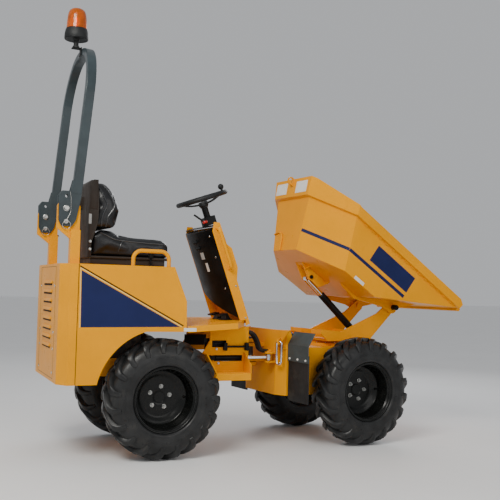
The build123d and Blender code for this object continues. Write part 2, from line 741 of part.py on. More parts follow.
LOCK_BAR_Z = 700
with BuildPart() as steer_lock_bar:
    bar_y = -(CHASSIS_HALF + SEAT + 14)
    with BuildSketch(Plane(origin=(490, bar_y, LOCK_BAR_Z), z_dir=(1, 0, 0))):
        Circle(7)
    extrude(amount=172)
    for x in (500, 660):
        with BuildSketch(Plane.XZ.offset(CHASSIS_HALF + SEAT)):
            with Locations((x, LOCK_BAR_Z)):
                RectangleRounded(24, 56, 8)
        extrude(amount=26)
keep("steer_lock_bar", steer_lock_bar, placed_rear)

# ---------------------------------------------------------------- steering cylinder
steer = math.radians(REST_STEER)
ram_eye = (
    PIVOT_X + (RAM_FRONT[0] - PIVOT_X) * math.cos(steer) - RAM_FRONT[1] * math.sin(steer),
    (RAM_FRONT[0] - PIVOT_X) * math.sin(steer) + RAM_FRONT[1] * math.cos(steer),
)
ram_length = math.hypot(ram_eye[0] - RAM_REAR[0], ram_eye[1] - RAM_REAR[1])
ram_plane = Plane(origin=(RAM_REAR[0], RAM_REAR[1], RAM_Z), x_dir=(0, 0, 1),
                  z_dir=(ram_eye[0] - RAM_REAR[0], ram_eye[1] - RAM_REAR[1], 0))
RAM_BARREL_R = 24
RAM_ROD_R = 12
RAM_MOUTH = 285               # from the rear pin to the barrel's mouth
RAM_BOTTOM = 70
RAM_EYE_R = 24
with BuildPart() as steer_barrel:
    with BuildSketch(ram_plane.offset(50)):
        Circle(RAM_BARREL_R)
    extrude(amount=RAM_MOUTH - 50)
    with BuildSketch(ram_plane.offset(15)):
        Rectangle(30, 30)
    extrude(amount=40)
    with BuildSketch(Plane.XY.offset(RAM_Z - RAM_EYE_HALF)):
        with Locations(RAM_REAR):
            Circle(RAM_EYE_R)
    extrude(amount=2 * RAM_EYE_HALF)
    with BuildSketch(Plane.XY.offset(RAM_Z - RAM_EYE_HALF)):
        with Locations(RAM_REAR):
            Circle(RAM_PIN_R + PIN_FIT)
    extrude(amount=2 * RAM_EYE_HALF, mode=Mode.SUBTRACT)
    with BuildSketch(ram_plane.offset(RAM_BOTTOM)):
        Circle(RAM_ROD_R + PIN_FIT)
    extrude(amount=RAM_MOUTH - RAM_BOTTOM, mode=Mode.SUBTRACT)
keep("steer_barrel", steer_barrel, placed_rear)
RAM_ROD_LONG = 230
with BuildPart() as steer_rod:
    with BuildSketch(ram_plane.offset(ram_length - RAM_ROD_LONG)):
        Circle(RAM_ROD_R)
    extrude(amount=RAM_ROD_LONG - 16)
    with BuildSketch(Plane.XY.offset(RAM_Z - RAM_EYE_HALF)):
        with Locations(ram_eye):
            Circle(RAM_EYE_R)
            Circle(RAM_PIN_R + 2, mode=Mode.SUBTRACT)
    extrude(amount=2 * RAM_EYE_HALF)
keep("steer_rod", steer_rod, placed_rear)

# ---------------------------------------------------------------- front chassis
LINK_R = 8
LINK_LONG = 120               # between the centres of the link's round ends
LINK_WIDE = 56
LINK_OUT = 50                 # from the folded plate out to the link
LINK_ALONG = 12               # from the fold's middle, towards the wheel
LINK_Z = 655
FRONT_REAR = 895
FRONT_FOLD_Y = 205
FRONT_FOLD_X = 940
FRONT_HALF = 290
FRONT_PLATE = 10
FRONT_LOW = 350
FRONT_HIGH = 815
DECK_Z = 690
RACE_LOW_Z = 708
RACE_TOP_Z = 723
RACE_R = 180
KING_R = 60
KING_TOP = 739
ARCH_FRONT_X = WHEELBASE - 294            # where the front frame rises over its axle
FRONT_END = WHEELBASE + 256
HOSE_Z = 655                  # hoses over the hitch
HOSE_ENDS = (-105, -140)      # y on the front half
UNION_REAR = FRONT_REAR - 25
fold_along = Vector(FRONT_FOLD_X - FRONT_REAR, FRONT_FOLD_Y - FRONT_HALF, 0).normalized()
fold_out = Vector(fold_along.Y, -fold_along.X, 0)
fold_middle = Vector((FRONT_REAR + FRONT_FOLD_X) / 2, -(FRONT_FOLD_Y + FRONT_HALF) / 2, 0)
lug_middle = fold_middle + fold_along * LINK_ALONG
link_plane = Plane(origin=lug_middle + fold_out * LINK_OUT + Vector(0, 0, LINK_Z), x_dir=fold_along,
                   z_dir=fold_out)
with BuildPart() as front_frame:
    # folded plate, seen from above, then trimmed to its side outline
    with BuildSketch(Plane.XY.offset(FRONT_LOW)):
        with BuildLine():
            Polyline(
                (FRONT_END, -FRONT_HALF),
                (FRONT_FOLD_X, -FRONT_HALF),
                (FRONT_REAR, -FRONT_FOLD_Y),
                (FRONT_REAR, FRONT_FOLD_Y),
                (FRONT_FOLD_X, FRONT_HALF),
                (FRONT_END, FRONT_HALF),
                (FRONT_END, FRONT_HALF - FRONT_PLATE),
                (FRONT_FOLD_X + 5, FRONT_HALF - FRONT_PLATE),
                (FRONT_REAR + FRONT_PLATE, FRONT_FOLD_Y - 4),
                (FRONT_REAR + FRONT_PLATE, -FRONT_FOLD_Y + 4),
                (FRONT_FOLD_X + 5, -FRONT_HALF + FRONT_PLATE),
                (FRONT_END, -FRONT_HALF + FRONT_PLATE),
                close=True,
            )
        make_face()
    extrude(amount=FRONT_HIGH - FRONT_LOW)
    with BuildSketch(side_plane(0)):
        Polygon((FRONT_REAR, FRONT_LOW), (ARCH_FRONT_X, FRONT_LOW), (ARCH_FRONT_X + 130, 470), (FRONT_END, 470),
                (FRONT_END, 610), (FRONT_END - 60, DECK_Z), (1010, DECK_Z), (965, FRONT_HIGH),
                (FRONT_REAR, FRONT_HIGH), align=None)
    extrude(amount=FRONT_HALF, both=True, mode=Mode.INTERSECT)
    with BuildSketch(Plane.XY.offset(DECK_Z - 12)):
        with Locations(((FRONT_REAR + FRONT_PLATE + FRONT_END - 60) / 2, 0)):
            Rectangle(FRONT_END - 60 - FRONT_REAR - FRONT_PLATE, 2 * FRONT_HALF - FRONT_PLATE)
    extrude(amount=12)
    with BuildSketch(Plane.XY.offset(470)):
        with Locations((FRONT_END - 6, 0)):
            Rectangle(12, 2 * FRONT_HALF - FRONT_PLATE)
    extrude(amount=140)
    # wings that carry the mudguards
    for side in (-1, 1):
        with BuildSketch(Plane(origin=(FRONT_REAR, 0, 0), x_dir=(0, side, 0), z_dir=(side, 0, 0))):
            Polygon((FRONT_FOLD_Y - 5, FRONT_HIGH), (385, FRONT_HIGH), (250, 702), (FRONT_FOLD_Y - 5, 702),
                    align=None)
        extrude(amount=side * 6)
    # lug that holds the tie-down link
    link_top = LINK_Z + LINK_LONG / 2 + LINK_WIDE / 2 - LINK_R
    with BuildSketch(Plane(origin=lug_middle, x_dir=fold_out, z_dir=fold_along * -1)):
        Polygon((-4, link_top - 30), (LINK_OUT + 22, link_top - 18), (LINK_OUT + 22, link_top + 18),
                (-4, link_top + 34), align=None)
        with Locations((LINK_OUT, link_top)):
            Circle(LINK_R + 3.5, mode=Mode.SUBTRACT)
    extrude(amount=6, both=True)
    for low, high in ((576, 600), (685, 709)):
        with BuildSketch(Plane.XY.offset(low)):
            with Locations(((PIVOT_X + FRONT_REAR) / 2, 0)):
                Rectangle(FRONT_REAR - PIVOT_X + 4, 100)
            with Locations((PIVOT_X, 0)):
                Circle(50)
        extrude(amount=high - low)
    with BuildSketch(Plane.XY.offset(570)):
        with Locations((PIVOT_X, 0)):
            Circle(HITCH_PIN_R + PIN_FIT)
    extrude(amount=150, mode=Mode.SUBTRACT)
    # steering cylinder's front bracket, with a stub pin short of the rod's eye
    for low in (RAM_Z - RAM_EYE_HALF - 6 - 12, RAM_Z + RAM_EYE_HALF + 6):
        with BuildSketch(Plane.XY.offset(low)):
            with Locations(((RAM_FRONT[0] + FRONT_REAR) / 2 - 5, RAM_FRONT[1])):
                Rectangle(FRONT_REAR - RAM_FRONT[0] + 20, 50)
            with Locations(RAM_FRONT):
                Circle(25)
        extrude(amount=12)
    for low in (RAM_Z - RAM_EYE_HALF - 26, RAM_Z + RAM_EYE_HALF + 3):
        with BuildSketch(Plane.XY.offset(low)):
            with Locations(RAM_FRONT):
                Circle(RAM_PIN_R)
        extrude(amount=23)
    # unions for the hoses over the hitch
    with BuildSketch(Plane(origin=(FRONT_REAR + 1, 0, 0), x_dir=(0, -1, 0), z_dir=(-1, 0, 0))):
        with Locations(*[(-end_y, HOSE_Z) for end_y in HOSE_ENDS]):
            RegularPolygon(16, 6)
    extrude(amount=26)
    # slew ring's lower races and king post
    for radius, high in ((215, RACE_LOW_Z), (RACE_R, RACE_TOP_Z), (KING_R, KING_TOP)):
        with BuildSketch(Plane.XY.offset(DECK_Z - 2)):
            with Locations((SLEW_X, 0)):
                Circle(radius)
        extrude(amount=high - DECK_Z + 2)
keep("front_frame", front_frame, placed_front)

keep("front_axle", make_axle(WHEELBASE, DECK_Z - 12 - SEAT), placed_front)

GUARD_IN = 250
GUARD_OUT = 548
for name, side in (("mudguard_right", -1), ("mudguard_left", 1)):
    with BuildPart() as mudguard:
        with BuildSketch(Plane.XZ.offset(-side * GUARD_IN)):
            Polygon((947, 600), (947, 716), (1000, 806), (1006, 803), (953, 714), (953, 600), align=None)
        extrude(amount=-side * (GUARD_OUT - GUARD_IN))
        with BuildSketch(Plane.XY.offset(595)):
            with Locations((1000, side * (GUARD_IN + FRONT_HALF + SEAT) / 2)):
                Rectangle(200, FRONT_HALF + SEAT - GUARD_IN)
        extrude(amount=215, mode=Mode.SUBTRACT)
    keep(name, mudguard, placed_front)
for name, side in (("mud_flap_right", -1), ("mud_flap_left", 1)):
    with BuildPart() as mud_flap:
        with BuildSketch(Plane.XY.offset(320)):
            with Locations((953 + SEAT + 4, side * (FRONT_HALF + SEAT + GUARD_OUT) / 2)):
                Rectangle(8, GUARD_OUT - FRONT_HALF - SEAT - 4)
        extrude(amount=330)
    keep(name, mud_flap, placed_front)

with BuildPart() as tie_down_link:
    with BuildSketch(link_plane):
        SlotCenterToCenter(LINK_LONG, LINK_WIDE, rotation=90)
        SlotCenterToCenter(LINK_LONG, LINK_WIDE - 4 * LINK_R, rotation=90, mode=Mode.SUBTRACT)
    extrude(amount=LINK_R, both=True)
keep("tie_down_link", tie_down_link, placed_front)

# two hoses over the hitch: from the floor's underside to unions on the front half's plate
HOSE_R = 13
HOSE_BENDS = [33, 79, 165, 35]
steer_cos = math.cos(math.radians(REST_STEER))
steer_sin = math.sin(math.radians(REST_STEER))
with BuildPart() as hitch_hoses:
    for end_y in HOSE_ENDS:
        reach = UNION_REAR - SEAT - PIVOT_X
        end = Vector(PIVOT_X + reach * steer_cos - end_y * steer_sin,
                     reach * steer_sin + end_y * steer_cos, HOSE_Z)
        knee = end - Vector(steer_cos, steer_sin, 0) * 60
        with BuildLine() as path:
            FilletPolyline(
                (600, knee.Y, floor_under(600) - SEAT - HOSE_R * floor_tan),
                (600, knee.Y, 798),
                (752, knee.Y, 802),
                (knee.X - 22, knee.Y, 735),
                knee,
                end,
                radius=HOSE_BENDS,
            )
        with BuildSketch(Plane(origin=path.line @ 0, z_dir=path.line % 0)):
            Circle(HOSE_R)
        sweep(path=path.line)
keep("hitch_hoses", hitch_hoses, placed_rear)

# ---------------------------------------------------------------- slewing frame
TABLE_Z = RACE_TOP_Z + 5
TABLE_T = 16
ARM_HALF = 205
ARM_T = 12
TABLE_REAR = SLEW_X - 195     # the table's rear edge turns inside the tyres
TABLE_FRONT = SLEW_X + 205
ARM_REAR = SLEW_X - 250       # the arms' rear ends turn above the tyres
ARM_REAR_LOW = 2 * TYRE_R + 12
REST_IN = 75                  # inner ends of the rests under the skip
LUG_IN = 33                   # inner face of the tip cylinder's lugs
TIP_PIN_R = 20
TIP_FOOT = (1800, 745)        # tip cylinder's lower pin
TIP_FOOT_PIN_R = 15
with BuildPart() as slew_frame:
    with BuildSketch(Plane.XY.offset(TABLE_Z)):
        with Locations((SLEW_X, 0)):
            Circle(185)
        with Locations(((TABLE_REAR + TABLE_FRONT) / 2, 0)):
            Rectangle(TABLE_FRONT - TABLE_REAR, 2 * ARM_HALF + ARM_T)
        with Locations((SLEW_X + 155, 0)):
            Rectangle(200, 2 * LUG_IN, mode=Mode.SUBTRACT)
    extrude(amount=TABLE_T)
    for side in (-1, 1):
        with BuildSketch(side_plane(side * ARM_HALF)):
            with BuildLine():
                Polyline((TABLE_FRONT - 7, TABLE_Z + 2), (TABLE_REAR, TABLE_Z + 2), (ARM_REAR, ARM_REAR_LOW),
                         (ARM_REAR, 815), (SLEW_X - 70, 798), (1812, 938), (TIP_X - 14, TIP_Z + 42))
                ThreePointArc((TIP_X - 14, TIP_Z + 42), (TIP_X + 44, TIP_Z), (TIP_X + 20, TIP_Z - 39))
                Line((TIP_X + 20, TIP_Z - 39), (TABLE_FRONT - 7, TABLE_Z + 2))
            make_face()
            with Locations((TIP_X, TIP_Z)):
                Circle(TIP_PIN_R + PIN_FIT, mode=Mode.SUBTRACT)
        extrude(amount=ARM_T / 2, both=True)
        # lug for the tip cylinder's foot
        with BuildSketch(side_plane(side * (LUG_IN + ARM_T / 2))):
            with BuildLine():
                lug_top = (TIP_FOOT[0] - 10, TIP_FOOT[1] + 28)
                lug_low = (TIP_FOOT[0], TIP_FOOT[1] - 29)
                Polyline((1600, TABLE_Z + 2), (1600, TABLE_Z + TABLE_T + 14), (1660, 790), lug_top)
                ThreePointArc(lug_top, (TIP_FOOT[0] + 29, TIP_FOOT[1]), lug_low)
                Polyline(lug_low, (1752, TABLE_Z + 2), (1600, TABLE_Z + 2))
            make_face()
        extrude(amount=ARM_T / 2, both=True)
        with BuildSketch(Plane.XY.offset(TABLE_Z + 2)):
            with Locations((1696, side * (LUG_IN + ARM_HALF) / 2)):
                Rectangle(12, ARM_HALF - LUG_IN)
        extrude(amount=70)
    # rests that meet the skip's floor when it is down, clear of the ears between them
    with BuildSketch(Plane.XY.offset(ARM_REAR_LOW)):
        with Locations(*[(ARM_REAR + 6, side * (ARM_HALF + REST_IN) / 2) for side in (-1, 1)]):
            Rectangle(12, ARM_HALF - REST_IN)
    extrude(amount=30)
    with BuildSketch(side_plane(0)):
        with Locations(TIP_FOOT):
            Circle(TIP_FOOT_PIN_R)
    extrude(amount=LUG_IN + ARM_T + 8, both=True)
    with BuildSketch(Plane.XY.offset(TABLE_Z - 1)):
        with Locations((SLEW_X, 0)):
            Circle(KING_R + PIN_FIT)
    extrude(amount=TABLE_T + 2, mode=Mode.SUBTRACT)
keep("slew_frame", slew_frame, placed_front)

# ---------------------------------------------------------------- skip
SKIP_X = 1698.6               # skip's own origin: s = 0, at its floor
SKIP_Z = 862.5
WALL = 6
FLOOR_REAR = (-703, 160)      # corners of the floor, as the skip's s and half width
FLOOR_SIDE = (-423, 452)
REAR_LEAN = 0.43              # outward lean of the walls, per mm of height
CORNER_FLARE = 0.15
SIDE_FLARE = 0.13
BAND_OUT = 28
BAND_LOW = 365
RIM_H = 430
REAR_RIM_H = 494
RIM_BREAK_S = (-912, -610)    # where the rim starts to fall, and levels again
SKIP_FRONT_S = 566            # the rim's front end, then down to the lip
SKIP_NOSE = (610.6, 405)
SKIP_LIP = (600, 350)
RIB_Y = 227
RIB_T = 10
EYE_S = -417                  # tip cylinder's pin under the skip
EYE_H = -48
EAR_IN = 36
EAR_T = 12
EAR_PIN_R = 12
EAR_PIN_END = 21
LIFT_S = -964                 # lifting eye on the rear band
LIFT_H = 466
LIFT_Y = -8
LIFT_R = 28
LIFT_BORE_R = 18
LIFT_T = 12


def skip_side(y):
    """Sketch plane at a given y, x and y as the skip's s and h."""
    return Plane(origin=(SKIP_X, y, SKIP_Z), x_dir=(1, 0, 0), z_dir=(0, -1, 0))


def skip_walls(out):
    """Outward planes of the walls, moved outwards by out, as (point, normal)."""
    rear_corner = Vector(*FLOOR_REAR, 0)
    floor_corner = Vector(*FLOOR_SIDE, 0)
    chamfer = (floor_corner - rear_corner).cross(Vector(-REAR_LEAN, CORNER_FLARE, 1))
    walls = (
        # a point on the outer face, outward direction
        (Vector(rear_corner.X, 0, 0), Vector(-1, 0, -REAR_LEAN)),
        (floor_corner, chamfer if chamfer.Y > 0 else chamfer * -1),
        (floor_corner, Vector(0, 1, -SIDE_FLARE)),
        (Vector(0, 0, 0), Vector(0, 0, -1)),
        (Vector(-89, 0, 0), Vector(345, 0, -642)),
    )
    for point, normal in walls:
        unit = normal.normalized()
        for flip in (1, -1) if unit.Y > 0.01 else (1,):
            turned = Vector(unit.X, flip * unit.Y, unit.Z)
            yield Vector(point.X, flip * point.Y, point.Z) + turned * out, turned


def band_face(h):
    """Where the rear band's outer face stands at a height, as the skip's s."""
    return FLOOR_REAR[0] - REAR_LEAN * h - BAND_OUT * math.hypot(1, REAR_LEAN)


def skip_solid(out, low, high):
    """Block bounded by the skip's wall planes between two heights, in the machine frame."""
    with BuildPart() as body:
        with BuildSketch(Plane.XY.offset(low)):
            with Locations((-150, 0)):
                Rectangle(1900, 1200)
        extrude(amount=high - low)
        for point, normal in skip_walls(out):
            split(bisect_by=Plane(origin=point, z_dir=normal), keep=Keep.BOTTOM)
    return body.part.moved(Location((SKIP_X, 0, SKIP_Z)))


with BuildPart() as skip:
    add(skip_solid(0, -1, 560))
    add(skip_solid(BAND_OUT, BAND_LOW, 560))
    add(skip_solid(-WALL, -1, 600), mode=Mode.SUBTRACT)
    add(skip_solid(BAND_OUT - WALL, BAND_LOW + WALL, 600), mode=Mode.SUBTRACT)
    with BuildSketch(skip_side(0)):
        Polygon((-1000, REAR_RIM_H), (RIM_BREAK_S[0], REAR_RIM_H), (RIM_BREAK_S[1], RIM_H),
                (SKIP_FRONT_S, RIM_H), SKIP_NOSE, SKIP_LIP, (SKIP_LIP[0], -20), (-1000, -20), align=None)
    extrude(amount=600, both=True, mode=Mode.INTERSECT)
    # lifting eye, welded to the rear band
    with BuildSketch(skip_side(LIFT_Y)):
        with Locations((LIFT_S, LIFT_H)):
            Circle(LIFT_R)
        Polygon((LIFT_S, LIFT_H + LIFT_R), (band_face(LIFT_H + LIFT_R) + 3, LIFT_H + LIFT_R),
                (band_face(LIFT_H - LIFT_R) + 3, LIFT_H - LIFT_R), (LIFT_S, LIFT_H - LIFT_R), align=None)
        with Locations((LIFT_S, LIFT_H)):
            Circle(LIFT_BORE_R, mode=Mode.SUBTRACT)
    extrude(amount=LIFT_T / 2, both=True)
keep("skip", skip, placed_skip)

LIP_R = 16
LIP_EDGE = (604.6, 373.6)     # middle of the floor's cut edge
LIP_HALF = FLOOR_SIDE[1] + SIDE_FLARE * LIP_EDGE[1] - 6
edge_along = Vector(SKIP_NOSE[0] - SKIP_LIP[0], SKIP_NOSE[1] - SKIP_LIP[1], 0).normalized()
lip_middle = Vector(*LIP_EDGE, 0) + Vector(edge_along.Y, -edge_along.X, 0) * (LIP_R + SEAT)
with BuildPart() as skip_lip:
    with BuildSketch(skip_side(0)):
        with Locations((lip_middle.X, lip_middle.Y)):
            Circle(LIP_R)
    extrude(amount=LIP_HALF, both=True)
keep("skip_lip", skip_lip, placed_skip)

tip_s = TIP_X - SKIP_X
tip_h = TIP_Z - SKIP_Z
for name, side in (("skip_rib_right", -1), ("skip_rib_left", 1)):
    with BuildPart() as skip_rib:
        with BuildSketch(skip_side(side * RIB_Y)):
            with BuildLine():
                Polyline((430, 278), (-89, -SEAT), (-275, -SEAT), (-247, -12), (-103, -28), (150, 70),
                         (tip_s - 12, tip_h - 46))
                ThreePointArc((tip_s - 12, tip_h - 46), (tip_s + 40, tip_h - 26), (tip_s + 44, tip_h + 18))
                Line((tip_s + 44, tip_h + 18), (430, 278))
            make_face()
        extrude(amount=RIB_T / 2, both=True)
        with BuildSketch(skip_side(side * (ARM_HALF - ARM_T / 2 - 10))):
            with Locations((tip_s, tip_h)):
                Circle(TIP_PIN_R)
        extrude(amount=-side * (RIB_Y + RIB_T / 2 + 14 - ARM_HALF + ARM_T / 2 + 10))
    keep(name, skip_rib, placed_skip)

with BuildPart() as tip_ears:
    for side in (-1, 1):
        with BuildSketch(skip_side(side * (EAR_IN + EAR_T / 2))):
            with BuildLine():
                Polyline((-545, -SEAT), (-250, -SEAT), (-300, -30), (EYE_S + 20, EYE_H - 18))
                ThreePointArc((EYE_S + 20, EYE_H - 18), (EYE_S, EYE_H - 26), (EYE_S - 20, EYE_H - 18))
                Line((EYE_S - 20, EYE_H - 18), (-545, -SEAT))
            make_face()
        extrude(amount=EAR_T / 2, both=True)
        with BuildSketch(skip_side(side * EAR_PIN_END)):
            with Locations((EYE_S, EYE_H)):
                Circle(EAR_PIN_R)
        extrude(amount=-side * (EAR_IN + EAR_T + 10 - EAR_PIN_END))
    with BuildSketch(skip_side(0)):
        Polygon((-545, -SEAT), (-475, -SEAT), (-475, -8), (-520, -8), align=None)
    extrude(amount=EAR_IN + 1, both=True)
keep("tip_ears", tip_ears, placed_skip)

# ---------------------------------------------------------------- tip cylinder
TIP_BARREL_R = 27
TIP_ROD_R = 16
TIP_EYE_R = 18
TIP_EYE_HALF = 18
TIP_FOOT_HALF = 31
TIP_SLACK = 1.0               # degrees the cylinder lies away from the skip, at rest
TIP_MOUTH = 190               # visible rod, at rest
TIP_ROD_LONG = 425
tip = math.radians(REST_TIP)
eye_dx = SKIP_X + EYE_S - TIP_X
eye_dz = SKIP_Z + EYE_H - TIP_Z
eye_x = TIP_X + eye_dx * math.cos(tip) + eye_dz * math.sin(tip)
eye_z = TIP_Z - eye_dx * math.sin(tip) + eye_dz * math.cos(tip)
ram_angle = math.atan2(eye_z - TIP_FOOT[1], eye_x - TIP_FOOT[0]) + math.radians(TIP_SLACK)
tip_ram_length = math.hypot(eye_z - TIP_FOOT[1], eye_x - TIP_FOOT[0])
tip_ram = Plane(origin=(TIP_FOOT[0], 0, TIP_FOOT[1]), x_dir=(0, 1, 0),
                z_dir=(math.cos(ram_angle), 0, math.sin(ram_angle)))
with BuildPart() as tip_barrel:
    with BuildSketch(tip_ram.offset(24)):
        Circle(TIP_BARREL_R)
    extrude(amount=tip_ram_length - TIP_MOUTH - 24)
    with BuildSketch(side_plane(0)):
        with Locations(TIP_FOOT):
            Circle(28)
    extrude(amount=TIP_FOOT_HALF, both=True)
    with BuildSketch(side_plane(0)):
        with Locations(TIP_FOOT):
            Circle(TIP_FOOT_PIN_R + PIN_FIT)
    extrude(amount=TIP_FOOT_HALF, both=True, mode=Mode.SUBTRACT)
    with BuildSketch(tip_ram.offset(tip_ram_length - TIP_MOUTH - 435)):
        Circle(TIP_ROD_R + PIN_FIT)
    extrude(amount=435, mode=Mode.SUBTRACT)
keep("tip_barrel", tip_barrel, placed_front)
with BuildPart() as tip_rod:
    with BuildSketch(tip_ram.offset(tip_ram_length - TIP_ROD_LONG)):
        Circle(TIP_ROD_R)
    extrude(amount=TIP_ROD_LONG - 12)
    rod_eye = tip_ram.origin + tip_ram.z_dir * tip_ram_length
    with BuildSketch(Plane(origin=rod_eye, x_dir=(1, 0, 0), z_dir=(0, -1, 0))):
        Circle(TIP_EYE_R)
    extrude(amount=TIP_EYE_HALF, both=True)
keep("tip_rod", tip_rod, placed_front)

# ---------------------------------------------------------------- write
for name, builder, placing in PIECES:
    builder.part.label = name
    export_step(builder.part.moved(placing), f"parts/{name}.step")
print("bends of the hitch hoses:", HOSE_BENDS)
print(len(PIECES), "pieces")
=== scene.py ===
"""Site dumper: the look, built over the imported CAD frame.

Shapes are drawn in millimetres in the machine's own frames and set down in metres: REAR is the
rear half (x forward from the rear axle), FRONT the front half steered straight, SKIP the skip
lowered (x along its floor, z up from it).
"""

import json
import math

import bmesh
import bpy
from mathutils import Matrix, Vector
from mathutils.bvhtree import BVHTree


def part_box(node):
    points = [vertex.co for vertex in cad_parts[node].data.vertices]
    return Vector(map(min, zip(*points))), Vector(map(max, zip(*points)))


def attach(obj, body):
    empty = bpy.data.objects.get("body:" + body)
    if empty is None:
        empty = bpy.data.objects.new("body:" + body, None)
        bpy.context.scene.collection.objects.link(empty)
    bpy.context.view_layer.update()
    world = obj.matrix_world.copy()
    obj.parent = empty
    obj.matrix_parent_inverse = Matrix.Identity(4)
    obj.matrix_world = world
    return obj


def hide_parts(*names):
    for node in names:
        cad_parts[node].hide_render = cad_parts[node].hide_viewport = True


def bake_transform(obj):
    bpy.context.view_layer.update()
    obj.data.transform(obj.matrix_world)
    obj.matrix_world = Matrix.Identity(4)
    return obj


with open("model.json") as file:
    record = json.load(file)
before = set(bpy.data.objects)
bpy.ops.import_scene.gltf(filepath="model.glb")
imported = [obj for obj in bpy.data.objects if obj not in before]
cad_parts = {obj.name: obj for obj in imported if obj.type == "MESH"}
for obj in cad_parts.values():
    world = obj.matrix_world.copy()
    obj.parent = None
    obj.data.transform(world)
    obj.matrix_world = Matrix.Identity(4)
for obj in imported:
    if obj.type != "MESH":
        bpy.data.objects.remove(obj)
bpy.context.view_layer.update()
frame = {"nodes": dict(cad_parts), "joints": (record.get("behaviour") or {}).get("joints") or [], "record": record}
NODES = frame["nodes"]
JOINTS = {joint["name"]: joint for joint in frame["joints"]}

# ---- frames
MM = 0.001
TYRE_R = 385
HALF_TRACK = 430
WHEELBASE = 1494
PIVOT_X = 800                       # hitch pin
TIP = (1945, 988)                   # tip pin
REST_TIP = math.radians(33.2)
SKIP_ORIGIN = (1698.6, 862.5)
SLEW_X = 1540
BODY_HALF = 480
BODY_REAR = -674
CHASSIS_HALF = 250
SEAT_HALF = 214.5
POST_Y = 386
CONSOLE_LEAN = math.radians(20)
HELM_CENTRE = (391, 1742)           # steering wheel
HELM_R = 176

near = JOINTS["rear_right_roll"]["pos_m"]
far = JOINTS["rear_left_roll"]["pos_m"]
pivot = JOINTS["articulation"]["pos_m"]
across = JOINTS["tip"]["axis"]
REST_STEER = math.atan2(-across[0], across[1])
REAR = Matrix.Translation((near[0], (near[1] + far[1]) / 2, 0)) @ Matrix.Scale(MM, 4)
FRONT = (Matrix.Translation((pivot[0], pivot[1], 0)) @ Matrix.Rotation(REST_STEER, 4, "Z")
         @ Matrix.Translation((-PIVOT_X * MM, 0, 0)) @ Matrix.Scale(MM, 4))
TIPPED = FRONT @ Matrix.Translation((TIP[0], 0, TIP[1])) @ Matrix.Rotation(REST_TIP, 4, "Y")
SKIP = TIPPED @ Matrix.Translation((SKIP_ORIGIN[0] - TIP[0], 0, SKIP_ORIGIN[1] - TIP[1]))
HELM = (REAR @ Matrix.Translation((HELM_CENTRE[0], 0, HELM_CENTRE[1]))
        @ Matrix.Rotation(-CONSOLE_LEAN, 4, "Y"))
SIDE = Matrix(((1, 0, 0, 0), (0, 0, -1, 0), (0, 1, 0, 0), (0, 0, 0, 1)))   # x, y become x, z; depth is -y
SIDES = ((-1, "right", Matrix()), (1, "left", Matrix.Scale(-1, 4, (0, 1, 0))))


# ---- materials
def look(name, colour, rough=0.5, metal=0.0, coat=0.0, coat_rough=0.1, vary=0.12, vary_scale=6.0,
         dirt=None, dirt_share=0.2, dirt_scale=9.0, rough_vary=0.1, bump=0.0, bump_scale=400.0,
         grain=None, grain_scale=700.0, grain_bump=0.2, soft_edge=0.0, specular=0.3, painted_glow=None, tint=None):
    """A finish with colour drift, dust patches, uneven roughness and fine relief."""
    finish = bpy.data.materials.new(name)
    finish.use_nodes = True
    nodes = finish.node_tree.nodes
    links = finish.node_tree.links

    def fill(node, values):
        for socket, value in values.items():
            node.inputs[socket].default_value = value
        return node

    def noise(scale, detail, roughness=0.55):
        node = fill(nodes.new("ShaderNodeTexNoise"), {"Scale": scale, "Detail": detail, "Roughness": roughness})
        links.new(where, node.inputs["Vector"])
        return node.outputs["Fac"]

    def ramp(value, low, high, to_low, to_high):
        node = fill(nodes.new("ShaderNodeMapRange"),
                    {"From Min": low, "From Max": high, "To Min": to_low, "To Max": to_high})
        links.new(value, node.inputs["Value"])
        return node.outputs["Result"]

    def mixed(share, first, second):
        node = nodes.new("ShaderNodeMix")
        node.data_type = "RGBA"
        links.new(share, node.inputs["Factor"])
        for value, socket in ((first, node.inputs[6]), (second, node.inputs[7])):
            if isinstance(value, tuple):
                socket.default_value = (*value, 1)
            else:
                links.new(value, socket)
        return node.outputs[2]

    where = nodes.new("ShaderNodeTexCoord").outputs["Object"]
    shader = fill(nodes["Principled BSDF"], {"Metallic": metal, "Coat Weight": coat,
                                             "Coat Roughness": coat_rough, "Specular IOR Level": specular})
    if tint:
        fill(shader, {"Specular Tint": (*tint, 1)})
    darker = tuple(channel * (1 - 2.2 * vary) for channel in colour)
    lighter = tuple(min(1, channel * (1 + vary) + 0.01 * vary) for channel in colour)
    tone = mixed(ramp(noise(vary_scale, 6.0), 0.32, 0.68, 0, 1), darker, lighter)
    if dirt:
        tone = mixed(ramp(noise(dirt_scale, 9.0, 0.7), 0.62 - dirt_share * 0.4, 0.8, 0, 0.85), tone, dirt)
    links.new(tone, shader.inputs["Base Color"])
    links.new(ramp(noise(dirt_scale * 1.7, 7.0, 0.65), 0.3, 0.7, max(0.02, rough - rough_vary),
                   min(1, rough + rough_vary)), shader.inputs["Roughness"])
    normal = None
    if soft_edge:
        node = fill(nodes.new("ShaderNodeBevel"), {"Radius": soft_edge})
        node.samples = 4
        normal = node.outputs["Normal"]
    relief = []
    if bump:
        relief.append((noise(bump_scale, 3.0), bump))
    if grain:
        node = fill(nodes.new("ShaderNodeTexVoronoi"), {"Scale": grain_scale})
        node.feature = grain
        links.new(where, node.inputs["Vector"])
        relief.append((node.outputs["Distance"], grain_bump))
    for height, strength in relief:
        node = fill(nodes.new("ShaderNodeBump"), {"Strength": strength, "Distance": 0.001})
        links.new(height, node.inputs["Height"])
        if normal:
            links.new(normal, node.inputs["Normal"])
        normal = node.outputs["Normal"]
    if normal:
        links.new(normal, shader.inputs["Normal"])
    # emission is a painted glow, for parts that are no lamp
    if painted_glow:
        fill(shader, {"Emission Color": (*painted_glow, 1), "Emission Strength": 0.5})
    return finish


